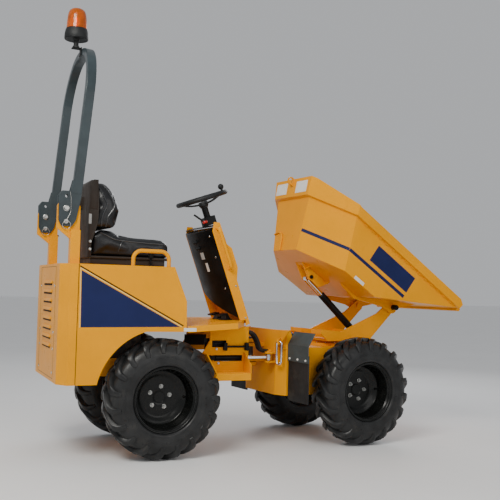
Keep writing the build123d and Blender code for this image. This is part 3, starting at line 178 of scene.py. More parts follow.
DUST = (0.36, 0.29, 0.19)
YELLOW = look("paint_yellow", (0.84, 0.335, 0.0), rough=0.32, vary=0.04, vary_scale=2.5,
              dirt=(0.66, 0.24, 0.001), dirt_share=0.05, dirt_scale=5, rough_vary=0.06, bump=0.05,
              bump_scale=260, soft_edge=0.0022, specular=0.2, tint=(1.0, 0.6, 0.1))
BLACK = look("paint_black", (0.006, 0.0065, 0.007), rough=0.42, coat=0.03, vary=0.25,
             dirt=(0.02, 0.019, 0.017), dirt_share=0.12, bump=0.06, bump_scale=300, soft_edge=0.0015,
             specular=0.14)
SLATE = look("paint_slate", (0.05, 0.068, 0.072), rough=0.42, coat=0.08, vary=0.12, dirt=(0.11, 0.115, 0.11),
             dirt_share=0.1, bump=0.08, bump_scale=300, soft_edge=0.0015)
HOOP = look("paint_hoop", (0.026, 0.039, 0.045), rough=0.36, coat=0.1, vary=0.12, dirt=(0.05, 0.058, 0.06),
            dirt_share=0.1, bump=0.07, bump_scale=240, soft_edge=0.002)
CAST = look("cast_iron", (0.07, 0.07, 0.068), rough=0.7, metal=0.4, vary=0.2, dirt=DUST, dirt_share=0.25,
            bump=0.5, bump_scale=500)
CHROME = look("chrome", (0.78, 0.79, 0.8), rough=0.1, metal=1, vary=0.03, rough_vary=0.04, bump=0.02,
              bump_scale=900)
ZINC = look("zinc", (0.5, 0.5, 0.48), rough=0.3, metal=1, vary=0.12, vary_scale=60, rough_vary=0.12,
            bump=0.1, bump_scale=900, soft_edge=0.0008)
RUBBER = look("rubber", (0.018, 0.018, 0.018), rough=0.62, vary=0.2, dirt=(0.06, 0.055, 0.045),
              dirt_share=0.2, bump=0.25, bump_scale=700)
TYRE = look("tyre", (0.017, 0.0175, 0.018), rough=0.36, vary=0.2, vary_scale=14, dirt=(0.05, 0.047, 0.042),
            dirt_share=0.18, dirt_scale=16, rough_vary=0.12, bump=0.3, bump_scale=520, grain="F1",
            grain_scale=420, grain_bump=0.08)
RIM = look("rim", (0.005, 0.0055, 0.005), rough=0.26, coat=0.08, coat_rough=0.12, vary=0.2,
           dirt=(0.02, 0.019, 0.017), dirt_share=0.14, specular=0.2, bump=0.08, bump_scale=320, soft_edge=0.001)
SHELL = look("seat_shell", (0.03, 0.021, 0.015), rough=0.5, vary=0.1, dirt=(0.07, 0.055, 0.04),
             dirt_share=0.08, bump=0.25, bump_scale=900, grain="SMOOTH_F1", grain_scale=900, grain_bump=0.2,
             soft_edge=0.003)
VINYL = look("seat_vinyl", (0.007, 0.0075, 0.009), rough=0.33, coat=0.1, coat_rough=0.22, vary=0.12,
             dirt=(0.014, 0.0138, 0.0138), dirt_share=0.04, bump=0.15, bump_scale=1300, specular=0.38,
             grain="DISTANCE_TO_EDGE", grain_scale=650, grain_bump=0.25)
# piping base lighter than the vinyl is a painted highlight along the piping; its gloss and coat are its own
PIPING = look("seat_piping", (0.035, 0.037, 0.04), rough=0.24, coat=0.4, vary=0.08, bump=0.2, bump_scale=1500)
GRIP = look("wheel_grip", (0.012, 0.013, 0.014), rough=0.5, vary=0.12, dirt=(0.06, 0.055, 0.05),
            dirt_share=0.1, bump=0.3, bump_scale=1400, grain="SMOOTH_F1", grain_scale=1100, grain_bump=0.25)
NAVY = look("decal_navy", (0.008, 0.014, 0.075), rough=0.4, coat=0.05, specular=0.18, vary=0.05,
            bump=0.03, bump_scale=260)
CREAM = look("decal_cream", (0.82, 0.64, 0.24), rough=0.4, coat=0.05, specular=0.2, vary=0.04,
             bump=0.03, bump_scale=260)
PLATE = look("plate_blank", (0.74, 0.73, 0.69), rough=0.36, vary=0.04, dirt=(0.5, 0.47, 0.4), dirt_share=0.12,
             bump=0.05, bump_scale=500)
PALE = look("plate_grey", (0.42, 0.43, 0.42), rough=0.42, vary=0.06, dirt=(0.3, 0.29, 0.26), dirt_share=0.1,
            bump=0.05, bump_scale=500)
# dark for the real seams and for painted shade under the louvre hoods
SEAM_AND_SHADE = look("seam_and_shade_dark", (0.03, 0.014, 0.003), rough=0.8, vary=0.15, bump=0.2, bump_scale=500)
RED = look("knob_red", (0.55, 0.012, 0.01), rough=0.3, coat=0.4, vary=0.05, bump=0.05, bump_scale=600)
# the reflector's emission is a painted glow: it is no lamp and stands lit inside the lens
REFLECTOR = look("beacon_reflector", (0.95, 0.42, 0.06), rough=0.12, metal=0.85, vary=0.05, bump=0.1,
                 bump_scale=300, painted_glow=(1.0, 0.35, 0.03))

AMBER = look("amber_lens", (0.78, 0.2, 0.0), rough=0.1, vary=0.08, vary_scale=20, rough_vary=0.05,
             bump=0.05, bump_scale=200)
glass = AMBER.node_tree.nodes["Principled BSDF"].inputs
glass["Transmission Weight"].default_value = 0.72
glass["IOR"].default_value = 1.45

FINISHES = {
    "body_yellow": YELLOW, "black_paint": BLACK, "grey_paint": SLATE, "cast_grey": CAST, "chrome_rod": CHROME,
    "rubber_black": RUBBER, "seat_plastic": SHELL, "seat_vinyl": VINYL, "amber_lens": AMBER,
    "wheel_plastic": GRIP, "tyre_rubber": TYRE, "rim_black": RIM,
}


def shaded(data, sharp):
    """Smooth shading, but not over edges sharper than an angle in degrees."""
    for face in data.polygons:
        face.use_smooth = True
    data.set_sharp_from_angle(angle=math.radians(sharp))


for part in frame["record"]["subparts"]:
    node = NODES[part["node"]]
    node.data.materials.clear()
    node.data.materials.append(FINISHES[part["material_slot"]])
    shaded(node.data, 28)
NODES["roll_hoop"].data.materials[0] = HOOP
NODES["dash_panel"].data.materials[0] = BLACK


# ---- shapes
def placed(name, data):
    """Object in the scene that holds the data."""
    item = bpy.data.objects.new(name, data)
    bpy.context.scene.collection.objects.link(item)
    return item


def solid(name, mesh):
    """Object in the scene from a bmesh, which it uses up."""
    data = bpy.data.meshes.new(name)
    mesh.to_mesh(data)
    mesh.free()
    return placed(name, data)


def made(name, mesh, matrix, body, finish, hides=(), sharp=32):
    """A finished piece: mesh set down by matrix, riding on body."""
    mesh.transform(matrix)
    bmesh.ops.recalc_face_normals(mesh, faces=mesh.faces)
    piece = solid(name, mesh)
    shaded(piece.data, sharp)
    piece.data.materials.append(finish)
    if body:
        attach(piece, body)
    if hides:
        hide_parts(*hides)
    return piece


def stand(at, up):
    """Matrix that puts z along up, at a point."""
    return Matrix.Translation(at) @ Vector(up).normalized().to_track_quat("Z", "Y").to_matrix().to_4x4()


def polar(r, turn, h=0):
    """Point at a radius, a turn about z in radians and a height."""
    return Vector((r * math.cos(turn), r * math.sin(turn), h))


def rolled(r, turn, y):
    """Point at a radius and a turn about the axle."""
    return Vector((r * math.cos(turn), y, r * math.sin(turn)))


def circle(count):
    """Turns of so many steps round a circle."""
    return [2 * math.pi * k / count for k in range(count)]


def loft(mesh, rings, closed=False):
    """Skin over rings of points of one length, with capped ends if the rings don't close."""
    rows = [[mesh.verts.new(point) for point in ring] for ring in rings]
    pairs = list(zip(rows, rows[1:])) + ([(rows[-1], rows[0])] if closed else [])
    for first, second in pairs:
        for i in range(len(first)):
            j = (i + 1) % len(first)
            mesh.faces.new((first[i], first[j], second[j], second[i]))
    if not closed:
        mesh.faces.new(rows[0])
        mesh.faces.new(rows[-1][::-1])


def lathe(mesh, profile, matrix=Matrix(), steps=48):
    """Closed profile of (radius, height) turned about z."""
    loft(mesh, [[matrix @ polar(r, turn, h) for r, h in profile] for turn in circle(steps)], closed=True)

def prism(mesh, outline, low, high, matrix=Matrix(), bevel=0.0):
    """Outline in x, y between two heights, with its edges rounded."""
    centre = sum((Vector(p) for p in outline), Vector((0, 0))) / len(outline)

    def ring(height, shrink):
        points = []
        count = len(outline)
        for i in range(count):
            here, before, after = Vector(outline[i]), Vector(outline[i - 1]), Vector(outline[(i + 1) % count])
            one = (here - before).normalized()
            two = (after - here).normalized()
            bisector = (one + two).normalized() if (one + two).length > 1e-6 else one
            normal = Vector((-bisector.y, bisector.x))
            if normal.dot(centre - here) < 0:
                normal = -normal
            points.append(matrix @ (here + normal * shrink).to_3d() + matrix.to_3x3() @ Vector((0, 0, height)))
        return points

    inset = bevel * 0.3
    steps = ((0, bevel), (inset, inset), (bevel, 0)) if bevel else ((0, 0),)
    loft(mesh, [ring(low + rise, shrink) for rise, shrink in steps]
         + [ring(high - rise, shrink) for rise, shrink in steps[::-1]])


def slab(mesh, size, at, bevel):
    """Box of a size about a point, with rounded edges."""
    x, y, z = (value / 2 for value in size)
    prism(mesh, ((-x, -y), (x, -y), (x, y), (-x, y)), -z, z, Matrix.Translation(at), bevel)


ARC_STEPS = 6


def rounded(points, radius):
    """Path with its corners turned into arcs."""
    points = [Vector(point) for point in points]
    path = [points[0]]
    for before, corner, after in zip(points, points[1:], points[2:]):
        one = (before - corner).normalized()
        two = (after - corner).normalized()
        reach = radius / math.tan(one.angle(two) / 2)
        start, end = corner + one * reach, corner + two * reach
        for k in range(ARC_STEPS + 1):
            t = k / ARC_STEPS
            path.append(start * (1 - t) ** 2 + corner * 2 * t * (1 - t) + end * t ** 2)
    path.append(points[-1])
    return path


def pipe(mesh, path, radius, sides, closed=False):
    """Round tube along a path."""
    path = [Vector(point) for point in path]
    count = len(path)
    outline = [(radius * math.cos(turn), radius * math.sin(turn)) for turn in circle(sides)]
    rings = []
    side = None
    for i, point in enumerate(path):
        after = path[(i + 1) % count] if closed or i < count - 1 else point
        before = path[i - 1] if closed or i > 0 else point
        along = (after - before).normalized()
        if side is None:
            side = along.orthogonal().normalized()
        side = (side - along * side.dot(along)).normalized()
        up = along.cross(side)
        rings.append([point + side * a + up * b for a, b in outline])
    loft(mesh, rings, closed=closed)


def bolt(mesh, at, out, flats, tall, washer=True, stud=0):
    """Hexagon head on a washer; stud is the radius of an end that stands out of it."""
    place = stand(at, out)
    r = flats / math.sqrt(3)
    low = 0
    if washer:
        lathe(mesh, ((0, -0.5), (r * 1.28, -0.5), (r * 1.28, 1.4), (r * 1.2, 2), (0, 2)), place, 20)
        low = 1.8
    loft(mesh, [[place @ polar(r * share, turn, h) for turn in circle(6)]
                for share, h in ((1, low), (1, low + tall * 0.8), (0.9, low + tall), (0.5, low + tall * 1.02))])
    if stud:
        lathe(mesh, ((0, low), (stud, low), (stud, low + tall + stud), (stud * 0.7, low + tall + stud * 1.4),
                     (0, low + tall + stud * 1.4)), place, 14)


def screw(mesh, at, out, radius, tall=3, matrix=Matrix()):
    """Dome-headed screw with a socket."""
    lathe(mesh, ((0, -0.5), (radius, -0.5), (radius, tall * 0.3), (radius * 0.8, tall * 0.8),
                 (radius * 0.45, tall), (radius * 0.4, tall * 0.5), (0, tall * 0.45)),
          matrix @ stand(at, out), 16)


def new():
    return bmesh.new()


# ---- wheels
LUGS = 19
LUG_START = 0.8               # degrees
TYRE_STEPS = 114
STUD_R = 70
# along the tread from its middle: distance, outer radius and y, radius and y between the lugs
TREAD = (
    (-14, 384.5, -14, 357, -14), (0, 384.5, 0, 357, 0), (50, 384, 50, 356.5, 49), (89, 375, 88, 349, 82),
    (112, 356, 102, 336, 95), (127, 344.5, 109.5, 325, 102), (150, 322, 114.5, 311, 109),
    (176, 297, 117.5, 294, 114.5),
)
# sidewall and bead below the tread: radius and y
SIDEWALL = ((282, 116.5), (268, 117.3), (262, 118), (256, 117.6), (243, 117), (228, 114.5), (222, 113.2),
            (219, 110.5), (215.5, 107), (213.5, 104), (213.5, 97), (196, 96))
# along a lug: distance, turn behind its shoulder end in degrees, half width
LUG = ((-12, 17.4, 15), (2, 15.6, 16.5), (20, 13.0, 16.5), (38, 10.2, 16.5), (56, 7.4, 17), (74, 4.7, 17.5),
       (90, 2.6, 18), (104, 1.2, 18), (118, 0.3, 17.5), (134, -0.2, 16), (152, -0.5, 14), (174, -0.6, 11))
# across a lug: share of its half width, share of the way from groove to top
LUG_SECTION = ((-1.18, -0.12), (-1.0, 0.86), (-0.84, 0.985), (0, 1.0), (0.84, 0.985), (1.0, 0.86),
               (1.18, -0.12))


def tread_point(distance, share):
    """Radius and y at a distance along the tread; share 1 is the lug's top and 0 the groove."""
    distance = max(TREAD[0][0], min(TREAD[-1][0], distance))
    for first, second in zip(TREAD, TREAD[1:]):
        if distance <= second[0]:
            t = (distance - first[0]) / (second[0] - first[0])
            row = [a + (b - a) * t for a, b in zip(first, second)]
            return row[3] + (row[1] - row[3]) * share, row[4] + (row[2] - row[4]) * share


def tyre_mesh():
    """Tyre about the origin, turning about y."""
    mesh = new()
    outside = [(r_in, y_in) for _, _, _, r_in, y_in in TREAD[1:]] + list(SIDEWALL)
    profile = [(r, -y) for r, y in reversed(outside[1:])] + outside
    loft(mesh, [[rolled(r, turn, y) for r, y in profile] for turn in circle(TYRE_STEPS)], closed=True)
    for side in (-1, 1):
        for k in range(LUGS):
            start = math.radians(LUG_START + k * 360 / LUGS + (360 / LUGS / 2 if side > 0 else 0))
            rings = []
            for i, (distance, behind, half_width) in enumerate(LUG):
                before, after = LUG[max(0, i - 1)], LUG[min(len(LUG) - 1, i + 1)]
                reach = tread_point(distance, 1)[0]
                along = Vector((-math.radians(after[1] - before[1]) * reach, after[0] - before[0])).normalized()
                across_lug = Vector((-along.y, along.x))
                turn = start - math.radians(behind)
                ring = []
                for offset, share in LUG_SECTION:
                    push = across_lug * offset * half_width
                    r, y = tread_point(distance + push.y, share)
                    ring.append(rolled(r, turn + push.x / reach, side * y))
                rings.append(ring)
            loft(mesh, rings)
        # two raised rings on the sidewall
        for r, y, thick in ((270, 116.6, 1.6), (236, 115.4, 1.3)):
            lathe(mesh, ((r - 3, y - 2), (r - 2, y + thick), (r + 2, y + thick), (r + 3, y - 2)),
                  Matrix.Rotation(-side * math.pi / 2, 4, "X"), 96)
    return mesh


def rim_mesh():
    """Rim about the origin with the dish towards -y."""
    mesh = new()
    # radius and distance outboard
    profile = ((0.01, -51), (36, -51), (38, -48.6), (58, -48.4), (118, -48.4), (129, -47), (137, -43),
               (147, -36.5), (158, -31), (168, -28), (174, -24), (177, -17), (178, -6), (178, 18),
               (180, 32), (184, 40), (185.5, 56), (186, 72), (189, 79), (195, 83), (198, 89), (199, 95),
               (201, 99.5), (205, 102.5), (209.5, 103), (212, 100.5), (212, 97.5), (209, 96), (203, 93),
               (196, 84), (192, 76), (190, -80), (200, -94), (212, -97), (212, -101), (206, -103.5),
               (199, -99), (190, -88), (184, -80), (181, -57), (150, -58), (88, -58), (88, -97),
               (0.01, -97))
    lathe(mesh, profile, Matrix.Rotation(math.pi / 2, 4, "X"), 96)
    # valve and its boss
    lathe(mesh, ((0, 0), (9, 0), (9, 6), (4.5, 8), (4.5, 34), (0, 35)), stand((158, 32, 0), (0.35, -1, 0)), 14)
    return mesh


def stud_mesh(first):
    """Five wheel nuts, first at an angle in degrees."""
    mesh = new()
    for k in range(5):
        bolt(mesh, rolled(STUD_R, math.radians(first + 72 * k), 48.2), (0, -1, 0), flats=20, tall=12, stud=6)
    return mesh


WHEELS = (
    # name, axle x, side, frame, turn of the first stud, turn of the tyre
    ("rear_right", 0, -1, REAR, 82.6, 0), ("rear_left", 0, 1, REAR, 20.0, 0),
    ("front_right", WHEELBASE, -1, FRONT, 71.1, 7), ("front_left", WHEELBASE, 1, FRONT, 40.0, 7),
)
for name, axle_x, side, base, first, tyre_turn in WHEELS:
    place = base @ Matrix.Translation((axle_x, side * HALF_TRACK, TYRE_R))
    body = "wheel_" + name
    made("tyre_seen_" + name, tyre_mesh(), place @ Matrix.Rotation(math.radians(tyre_turn), 4, "Y"), body,
         TYRE, ("tyre_" + name,), sharp=38)
    outboard = place @ Matrix.Scale(-side, 4, (0, 1, 0))
    made("rim_seen_" + name, rim_mesh(), outboard, body, RIM, ("rim_" + name,), sharp=50)
    made("wheel_nuts_" + name, stud_mesh(first), outboard, body, ZINC)


# ---- planes for marks and plates
def plane(origin, x_dir, normal):
    """Matrix whose x runs along x_dir and whose z is the outward normal."""
    z = Vector(normal).normalized()
    x = Vector(x_dir)
    x = (x - z * x.dot(z)).normalized()
    y = z.cross(x)
    matrix = Matrix((x, y, z)).transposed().to_4x4()
    matrix.translation = origin
    return matrix


def strip(first, second, wide):
    """Outline of a straight line of a width."""
    a, b = Vector(first), Vector(second)
    off = (b - a).orthogonal().normalized() * wide / 2
    return [tuple(a + off), tuple(b + off), tuple(b - off), tuple(a - off)]


def oblong(x, y, far_x, far_y):
    """Outline of a rectangle between two corners."""
    return [(x, y), (far_x, y), (far_x, far_y), (x, far_y)]


def mark(name, outlines, matrix, body, finish, thick=0.7):
    """Thin sheets stuck on a plane."""
    mesh = new()
    for outline in outlines:
        prism(mesh, outline, -0.4, thick, matrix)
    made(name, mesh, Matrix(), body, finish)


# ---- marks and seams on the rear body
for side, label, mirror in SIDES:
    flank = REAR @ Matrix.Translation((0, side * BODY_HALF, 0)) @ mirror @ SIDE
    mark("navy_panel_" + label, [[(-555, 1190), (-549, 838), (92, 845)]], flank, "rear_chassis", NAVY)
    mark("cream_line_" + label, [strip((-562, 1204), (106, 845), 5), strip((-560, 1200), (-554, 836), 4)],
         flank, "rear_chassis", CREAM)
    mark("dark_line_" + label, [strip((-566, 1216), (116, 851), 8), strip((-571, 486), (-571, 1228), 4)],
         flank, "rear_chassis", SEAM_AND_SHADE)

# the tail's door: seams, louvre hoods with painted shade strips under them, screws
DOOR_HALF, DOOR_LOW, DOOR_HIGH = 278, 505, 1212
LOUVRES = [905 + (k - 3.5) * 58 for k in range(8)]       # their heights
LOUVRE_HALF = 152
LOUVRE_SECTION = ((0, 16), (5, 14), (9, 8), (11, -1), (11, -4), (9, -4), (7, 4), (4, 9), (0, 11))   # out, up
LOUVRE_ENDS = ((156, 0.05), (152, 0.6), (143, 0.95), (130, 1))     # y, share of the section's depth

tail = REAR @ plane((BODY_REAR, 0, 0), (0, -1, 0), (-1, 0, 0))
mark("tail_seams", [strip((x, DOOR_LOW), (x, DOOR_HIGH), 2) for x in (-DOOR_HALF, DOOR_HALF)]
     + [strip((-DOOR_HALF, z), (DOOR_HALF, z), 2) for z in (DOOR_LOW, DOOR_HIGH)], tail, "rear_chassis", SEAM_AND_SHADE)
mesh = new()
for z in LOUVRES:
    loft(mesh, [[Vector((BODY_REAR - out * share + 0.5, y, z + up)) for out, up in LOUVRE_SECTION]
                for y, share in [(-y, share) for y, share in LOUVRE_ENDS] + list(LOUVRE_ENDS[::-1])])
made("louvre_hoods", mesh, REAR, "rear_chassis", YELLOW)
# painted shade: a dark strip under each louvre hood stands for the shadow in its slit
mark("louvre_shade_strips", [oblong(-LOUVRE_HALF, z - 17, LOUVRE_HALF, z - 2) for z in LOUVRES], tail,
     "rear_chassis", SEAM_AND_SHADE)
mesh = new()
for y in (-250, 250):
    for z in (1088, 795, 690, 540):
        screw(mesh, (BODY_REAR, y, z), (-1, 0, 0), radius=9, tall=4)
made("tail_screws", mesh, REAR, "rear_chassis", ZINC)


# ---- padded pieces
VOXEL = 0.006
PAD_RISE = 0.011              # how far the cloth may lift the surface
PRESSURE = 4
CLOTH_STEPS = 20
SMOOTHINGS = 18
CHANNEL = 0.016               # half width of a sewn channel
CHANNEL_DEEP = 0.007
PIPE_PIECES = 10


def evaluated(piece):
    """The piece's mesh with its modifiers, as a new mesh."""
    graph = bpy.context.evaluated_depsgraph_get()
    graph.update()
    return bpy.data.meshes.new_from_object(piece.evaluated_get(graph))


def off_line(point, a, b):
    """How far a point is from the line between two others."""
    share = max(0, min(1, (point - a).dot(b - a) / (b - a).length_squared))
    return (point - (a + (b - a) * share)).length


def blown(name, rings, low, high, node, seams, pipes, bead):
    """A stuffed piece from rings of points, blown up as cloth, with sewn channels and piping.

    seams and pipes are paths near the surface; low and high are the corners it stays inside;
    bead is the piping's radius."""
    mesh = new()
    loft(mesh, rings)
    mesh.transform(REAR)
    bmesh.ops.recalc_face_normals(mesh, faces=mesh.faces)
    piece = solid(name, mesh)
    remesh = piece.modifiers.new("voxels", "REMESH")
    remesh.mode = "VOXEL"
    remesh.voxel_size = VOXEL
    piece.data = evaluated(piece)
    piece.modifiers.clear()
    start = [vertex.co.copy() for vertex in piece.data.vertices]
    scene = bpy.context.scene
    cloth = piece.modifiers.new("cloth", "CLOTH")
    cloth.settings.use_pressure = True
    cloth.settings.uniform_pressure_force = PRESSURE
    cloth.settings.quality = 5
    cloth.settings.effector_weights.gravity = 0
    cloth.point_cache.frame_start = 1
    cloth.point_cache.frame_end = CLOTH_STEPS
    for step in range(1, CLOTH_STEPS + 1):
        scene.frame_set(step)
    moved = [vertex.co.copy() for vertex in evaluated(piece).vertices]
    piece.modifiers.clear()
    scene.frame_set(1)
    corners = REAR @ Vector(low), REAR @ Vector(high)
    for vertex, old, there in zip(piece.data.vertices, start, moved):
        step = there - old
        if step.length > PAD_RISE:
            step = step.normalized() * PAD_RISE
        vertex.co = [max(low, min(high, value)) for low, high, value in zip(*corners, old + step)]
    smooth = piece.modifiers.new("smooth", "SMOOTH")
    smooth.factor = 0.5
    smooth.iterations = SMOOTHINGS
    finer = piece.modifiers.new("finer", "SUBSURF")
    finer.levels = 1
    finer.render_levels = 1
    piece.data = evaluated(piece)
    piece.modifiers.clear()
    for path in seams:
        points = [REAR @ Vector(point) for point in path]
        for vertex in piece.data.vertices:
            nearest = min(off_line(vertex.co, a, b) for a, b in zip(points, points[1:]))
            if nearest < CHANNEL:
                vertex.co -= vertex.normal * CHANNEL_DEEP * (1 - nearest / CHANNEL) ** 1.5
    tree = BVHTree.FromPolygons([vertex.co for vertex in piece.data.vertices],
                                [face.vertices for face in piece.data.polygons])
    piping = new()
    for path in pipes:
        points = [REAR @ (Vector(a) * (1 - k / PIPE_PIECES) + Vector(b) * k / PIPE_PIECES)
                  for a, b in zip(path, path[1:]) for k in range(PIPE_PIECES)] + [REAR @ Vector(path[-1])]
        on = []
        for point in points:
            where, normal, _, _ = tree.find_nearest(point)
            on.append(where + normal * 0.001)
        for _ in range(4):
            on = [on[0]] + [(on[i - 1] + on[i] * 2 + on[i + 1]) / 4 for i in range(1, len(on) - 1)] + [on[-1]]
        pipe(piping, on, bead * MM, 10)
    for face in piece.data.polygons:
        face.use_smooth = True
    piece.data.materials.append(VINYL)
    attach(piece, "rear_chassis")
    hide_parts(node)
    made(name + "_piping", piping, Matrix(), "rear_chassis", PIPING)


def between(table, at):
    """Value in a table of (place, value) at a place."""
    if at <= table[0][0]:
        return table[0][1]
    for first, second in zip(table, table[1:]):
        if at <= second[0]:
            return first[1] + (second[1] - first[1]) * (at - first[0]) / (second[0] - first[0])
    return table[-1][1]


def across_pad(half):
    """Places across a pad, each with its share of the way out to the edge."""
    return [(y, min(1, abs(y) / half)) for y in (-half + 2 * half * k / 12 for k in range(13))]


# (height, x) of the back's two faces, and (height, y) of its edge
BACK_FRONT = ((1440, -296), (1500, -256), (1600, -238), (1660, -252), (1710, -276), (1760, -310), (1796, -345))
BACK_REAR = ((1432, -447), (1560, -450), (1764, -438), (1800, -425))
BACK_HALF = ((1436, 196), (1600, 205), (1700, 200), (1760, 182), (1796, 140))
PAD_IN = 9                    # how far the blown surface starts inside the pad's own
rings = []
for z in (1478, 1500, 1525, 1560, 1600, 1640, 1680, 1715, 1745, 1768, 1788):
    front = between(BACK_FRONT, z) - PAD_IN
    rear = between(BACK_REAR, z) + 6
    dip = 34 if z < 1700 else 20
    row = across_pad(between(BACK_HALF, z) - PAD_IN)
    rings.append([Vector((front - dip * (1 - share ** 2.2) - 26 * max(0, share - 0.86) / 0.14, y, z))
                  for y, share in row] + [Vector((rear, -y, z)) for y, _ in row])
sides = []
for side in (-1, 1):
    sides.append([(-414, side * 196, 1790), (-378, side * 208, 1710), (-342, side * 212, 1630),
                  (-379, side * 212, 1548), (-376, side * 205, 1476)])
    sides.append([(-367, side * 170, 1781), (-322, side * 196, 1700), (-288, side * 205, 1627),
                  (-340, side * 205, 1550), (-346, side * 200, 1476)])
blown("seat_back_seen", rings, (-449, -214, 1466), (-232, 214, 1798), "seat_back",
      [[(-300, -205, 1700), (-300, 205, 1700)], [(-258, -120, 1690), (-262, -120, 1470)],
       [(-258, 120, 1690), (-262, 120, 1480)], [(-280, -120, 1545), (-280, 120, 1545)]], sides, 6.0)

# (x, height) of the cushion's top
SEAT_TOP = ((-430, 1452), (-376, 1476), (-302, 1468), (-255, 1448), (-220, 1434), (60, 1422), (90, 1410),
            (104, 1390))
rings = []
for x in (-432, -405, -376, -340, -300, -250, -180, -100, -20, 50, 80, 97):
    top = between(SEAT_TOP, x) - PAD_IN
    row = across_pad((208 if x < 40 else 208 - (x - 40) * 0.28) - PAD_IN)
    rings.append([Vector((x, y, top - 16 * (1 - share ** 2) - 20 * max(0, share - 0.88) / 0.12))
                  for y, share in row] + [Vector((x, -y, 1300)) for y, _ in row])
sides = []
for side in (-1, 1):
    sides.append([(-380, side * 190, 1446), (-300, side * 206, 1412), (-220, side * 210, 1404),
                  (60, side * 210, 1398), (92, side * 196, 1380)])
    sides.append([(-222, side * 200, 1412), (-240, side * 212, 1380), (-258, side * 212, 1320)])
blown("seat_cushion_seen", rings, (-440, -SEAT_HALF, 1294.2), (109, SEAT_HALF, 1480), "seat_cushion",
      [[(-250, -200, 1430), (-250, 200, 1430)], [(-250, -118, 1420), (90, -118, 1405)],
       [(-250, 118, 1420), (90, 118, 1405)], [(-80, -118, 1410), (-80, 118, 1410)]], sides, 4.0)

# moulded shell behind and under the pads, with a skirt: (height, x) and (height, y)
SHELL_REAR = ((1290, -462), (1420, -468), (1560, -469), (1770, -461), (1798, -440))
SHELL_FRONT = ((1290, -440), (1340, -446), (1386, -440), (1467, -414), (1560, -398), (1740, -404), (1798, -416))
SHELL_HALF = ((1290, 205), (1400, 213), (1640, 214), (1720, 206), (1775, 186), (1798, 150))
SHELL_BEND = 16
SHELL_WALL = 5
mesh = new()
rings = []
for z in (1282, 1300, 1340, 1386, 1430, 1480, 1540, 1620, 1700, 1745, 1772, 1788, 1797):
    half, rear, front = between(SHELL_HALF, z), between(SHELL_REAR, z), between(SHELL_FRONT, z)
    outer = [(front, half), (rear + SHELL_BEND, half), (rear + SHELL_BEND * 0.3, half - SHELL_BEND * 0.3),
             (rear, half - SHELL_BEND), (rear, 0)]
    outer += [(x, -y) for x, y in reversed(outer[:-1])]
    inner = [(x + (0 if i in (0, len(outer) - 1) else SHELL_WALL), y * (half - SHELL_WALL) / half)
             for i, (x, y) in enumerate(outer)]
    rings.append([Vector((x, y, z)) for x, y in outer + inner[::-1]])
loft(mesh, rings)
prism(mesh, ((-440, -200), (-440, 200), (80, 210), (92, 196), (92, -196), (80, -210)), 1276.5, 1293.5, bevel=5)
slab(mesh, (70, 12, 90), (-452, 0, 1650), bevel=3)
prism(mesh, ((-440, -186), (-440, 186), (64, 196), (64, -196)), 1236, 1277, bevel=4)
made("seat_shell_seen", mesh, REAR, "rear_chassis", SHELL, ("seat_shell",))
fittings = new()
ribs = new()
for side, _, mirror in SIDES:
    for z in (1334, 1385):
        bolt(fittings, (-452, side * 214, z), (0, side, 0), flats=13, tall=6)
    slab(fittings, (10, 14, 60), (-40, side * 214, 1266), bevel=3)
    prism(ribs, ((-462, 1600), (-410, 1596), (-410, 1792), (-440, 1792), (-458, 1760)), 214.2, 215.6,
          mirror @ SIDE, bevel=0.5)
    slab(ribs, (6, 60, 140), (-466, side * 110, 1560), bevel=2)
made("seat_fittings", fittings, REAR, "rear_chassis", ZINC)
made("seat_shell_ribs", ribs, REAR, "rear_chassis", SHELL)
mark("seat_plate", [oblong(-466, 1500, -448, 1565)], REAR @ Matrix.Translation((0, -SEAT_HALF, 0)) @ SIDE,
     "rear_chassis", PALE)

# ---- steering wheel and console
GRIP_R = 17
GRIP_STEPS = 108
GRIP_RIDGES = 18              # finger ridges inside the rim
mesh = new()
rings = []
for turn in circle(GRIP_STEPS):
    section = []
    for angle in circle(14):
        swell = GRIP_R + (0.9 * math.cos(turn * GRIP_RIDGES) if math.cos(angle) < 0 else 0)
        section.append(polar(HELM_R + swell * math.cos(angle), turn, swell * math.sin(angle)))
    rings.append(section)
loft(mesh, rings, closed=True)
lathe(mesh, ((0.01, -22), (24, -22), (33, -26), (36, -34), (36, -50), (30, -58), (28, -66), (11.3, -66),
             (11.3, -44), (0.01, -44)), steps=40)
# spokes: distance from the hub, half width, top and low side
SPOKE = ((24, 20, -31, -46), (50, 17, -31, -44), (90, 14, -25, -37), (130, 14, -14, -25), (155, 17, -5, -14),
         (172, 23, 4, -6))
for k in range(3):
    turn = Matrix.Rotation(math.radians(180 + 120 * k), 4, "Z")
    loft(mesh, [[turn @ Vector((reach, share * half, z)) for share, z in
                 ((-1, (top + low) / 2), (-0.8, top), (0.8, top), (1, (top + low) / 2), (0.8, low),
                  (-0.8, low))] for reach, half, top, low in SPOKE])
knob = polar(HELM_R, math.radians(-50))
lathe(mesh, ((0.01, 66), (8, 64.5), (15, 60), (19.5, 53), (21, 45), (19.5, 37), (15, 30), (9, 26), (8, 16),
             (13, 13), (13, -3), (0.01, -3)), Matrix.Translation(knob), 28)
made("steering_wheel_seen", mesh, HELM, "steering", GRIP, ("steering_wheel",))
mesh = new()
lathe(mesh, ((0.01, -19.5), (10, -19.8), (13, -20.6), (13, -23), (0.01, -23)), steps=24)
slab(mesh, (16, 26, 12), knob, bevel=2)
made("wheel_cap", mesh, HELM, "steering", ZINC)

dash = HELM @ Matrix.Translation((0, 0, -197))
LID = -25                     # height of the shroud's top in the dash's frame
LID_X = -166                  # its edge at the middle, and the radius of that edge
LID_R = 520


def lid_edge(y, inset):
    """Where the shroud's top edge stands at y, as the dash's x."""
    return LID_X + inset + LID_R - math.sqrt(LID_R ** 2 - y ** 2)


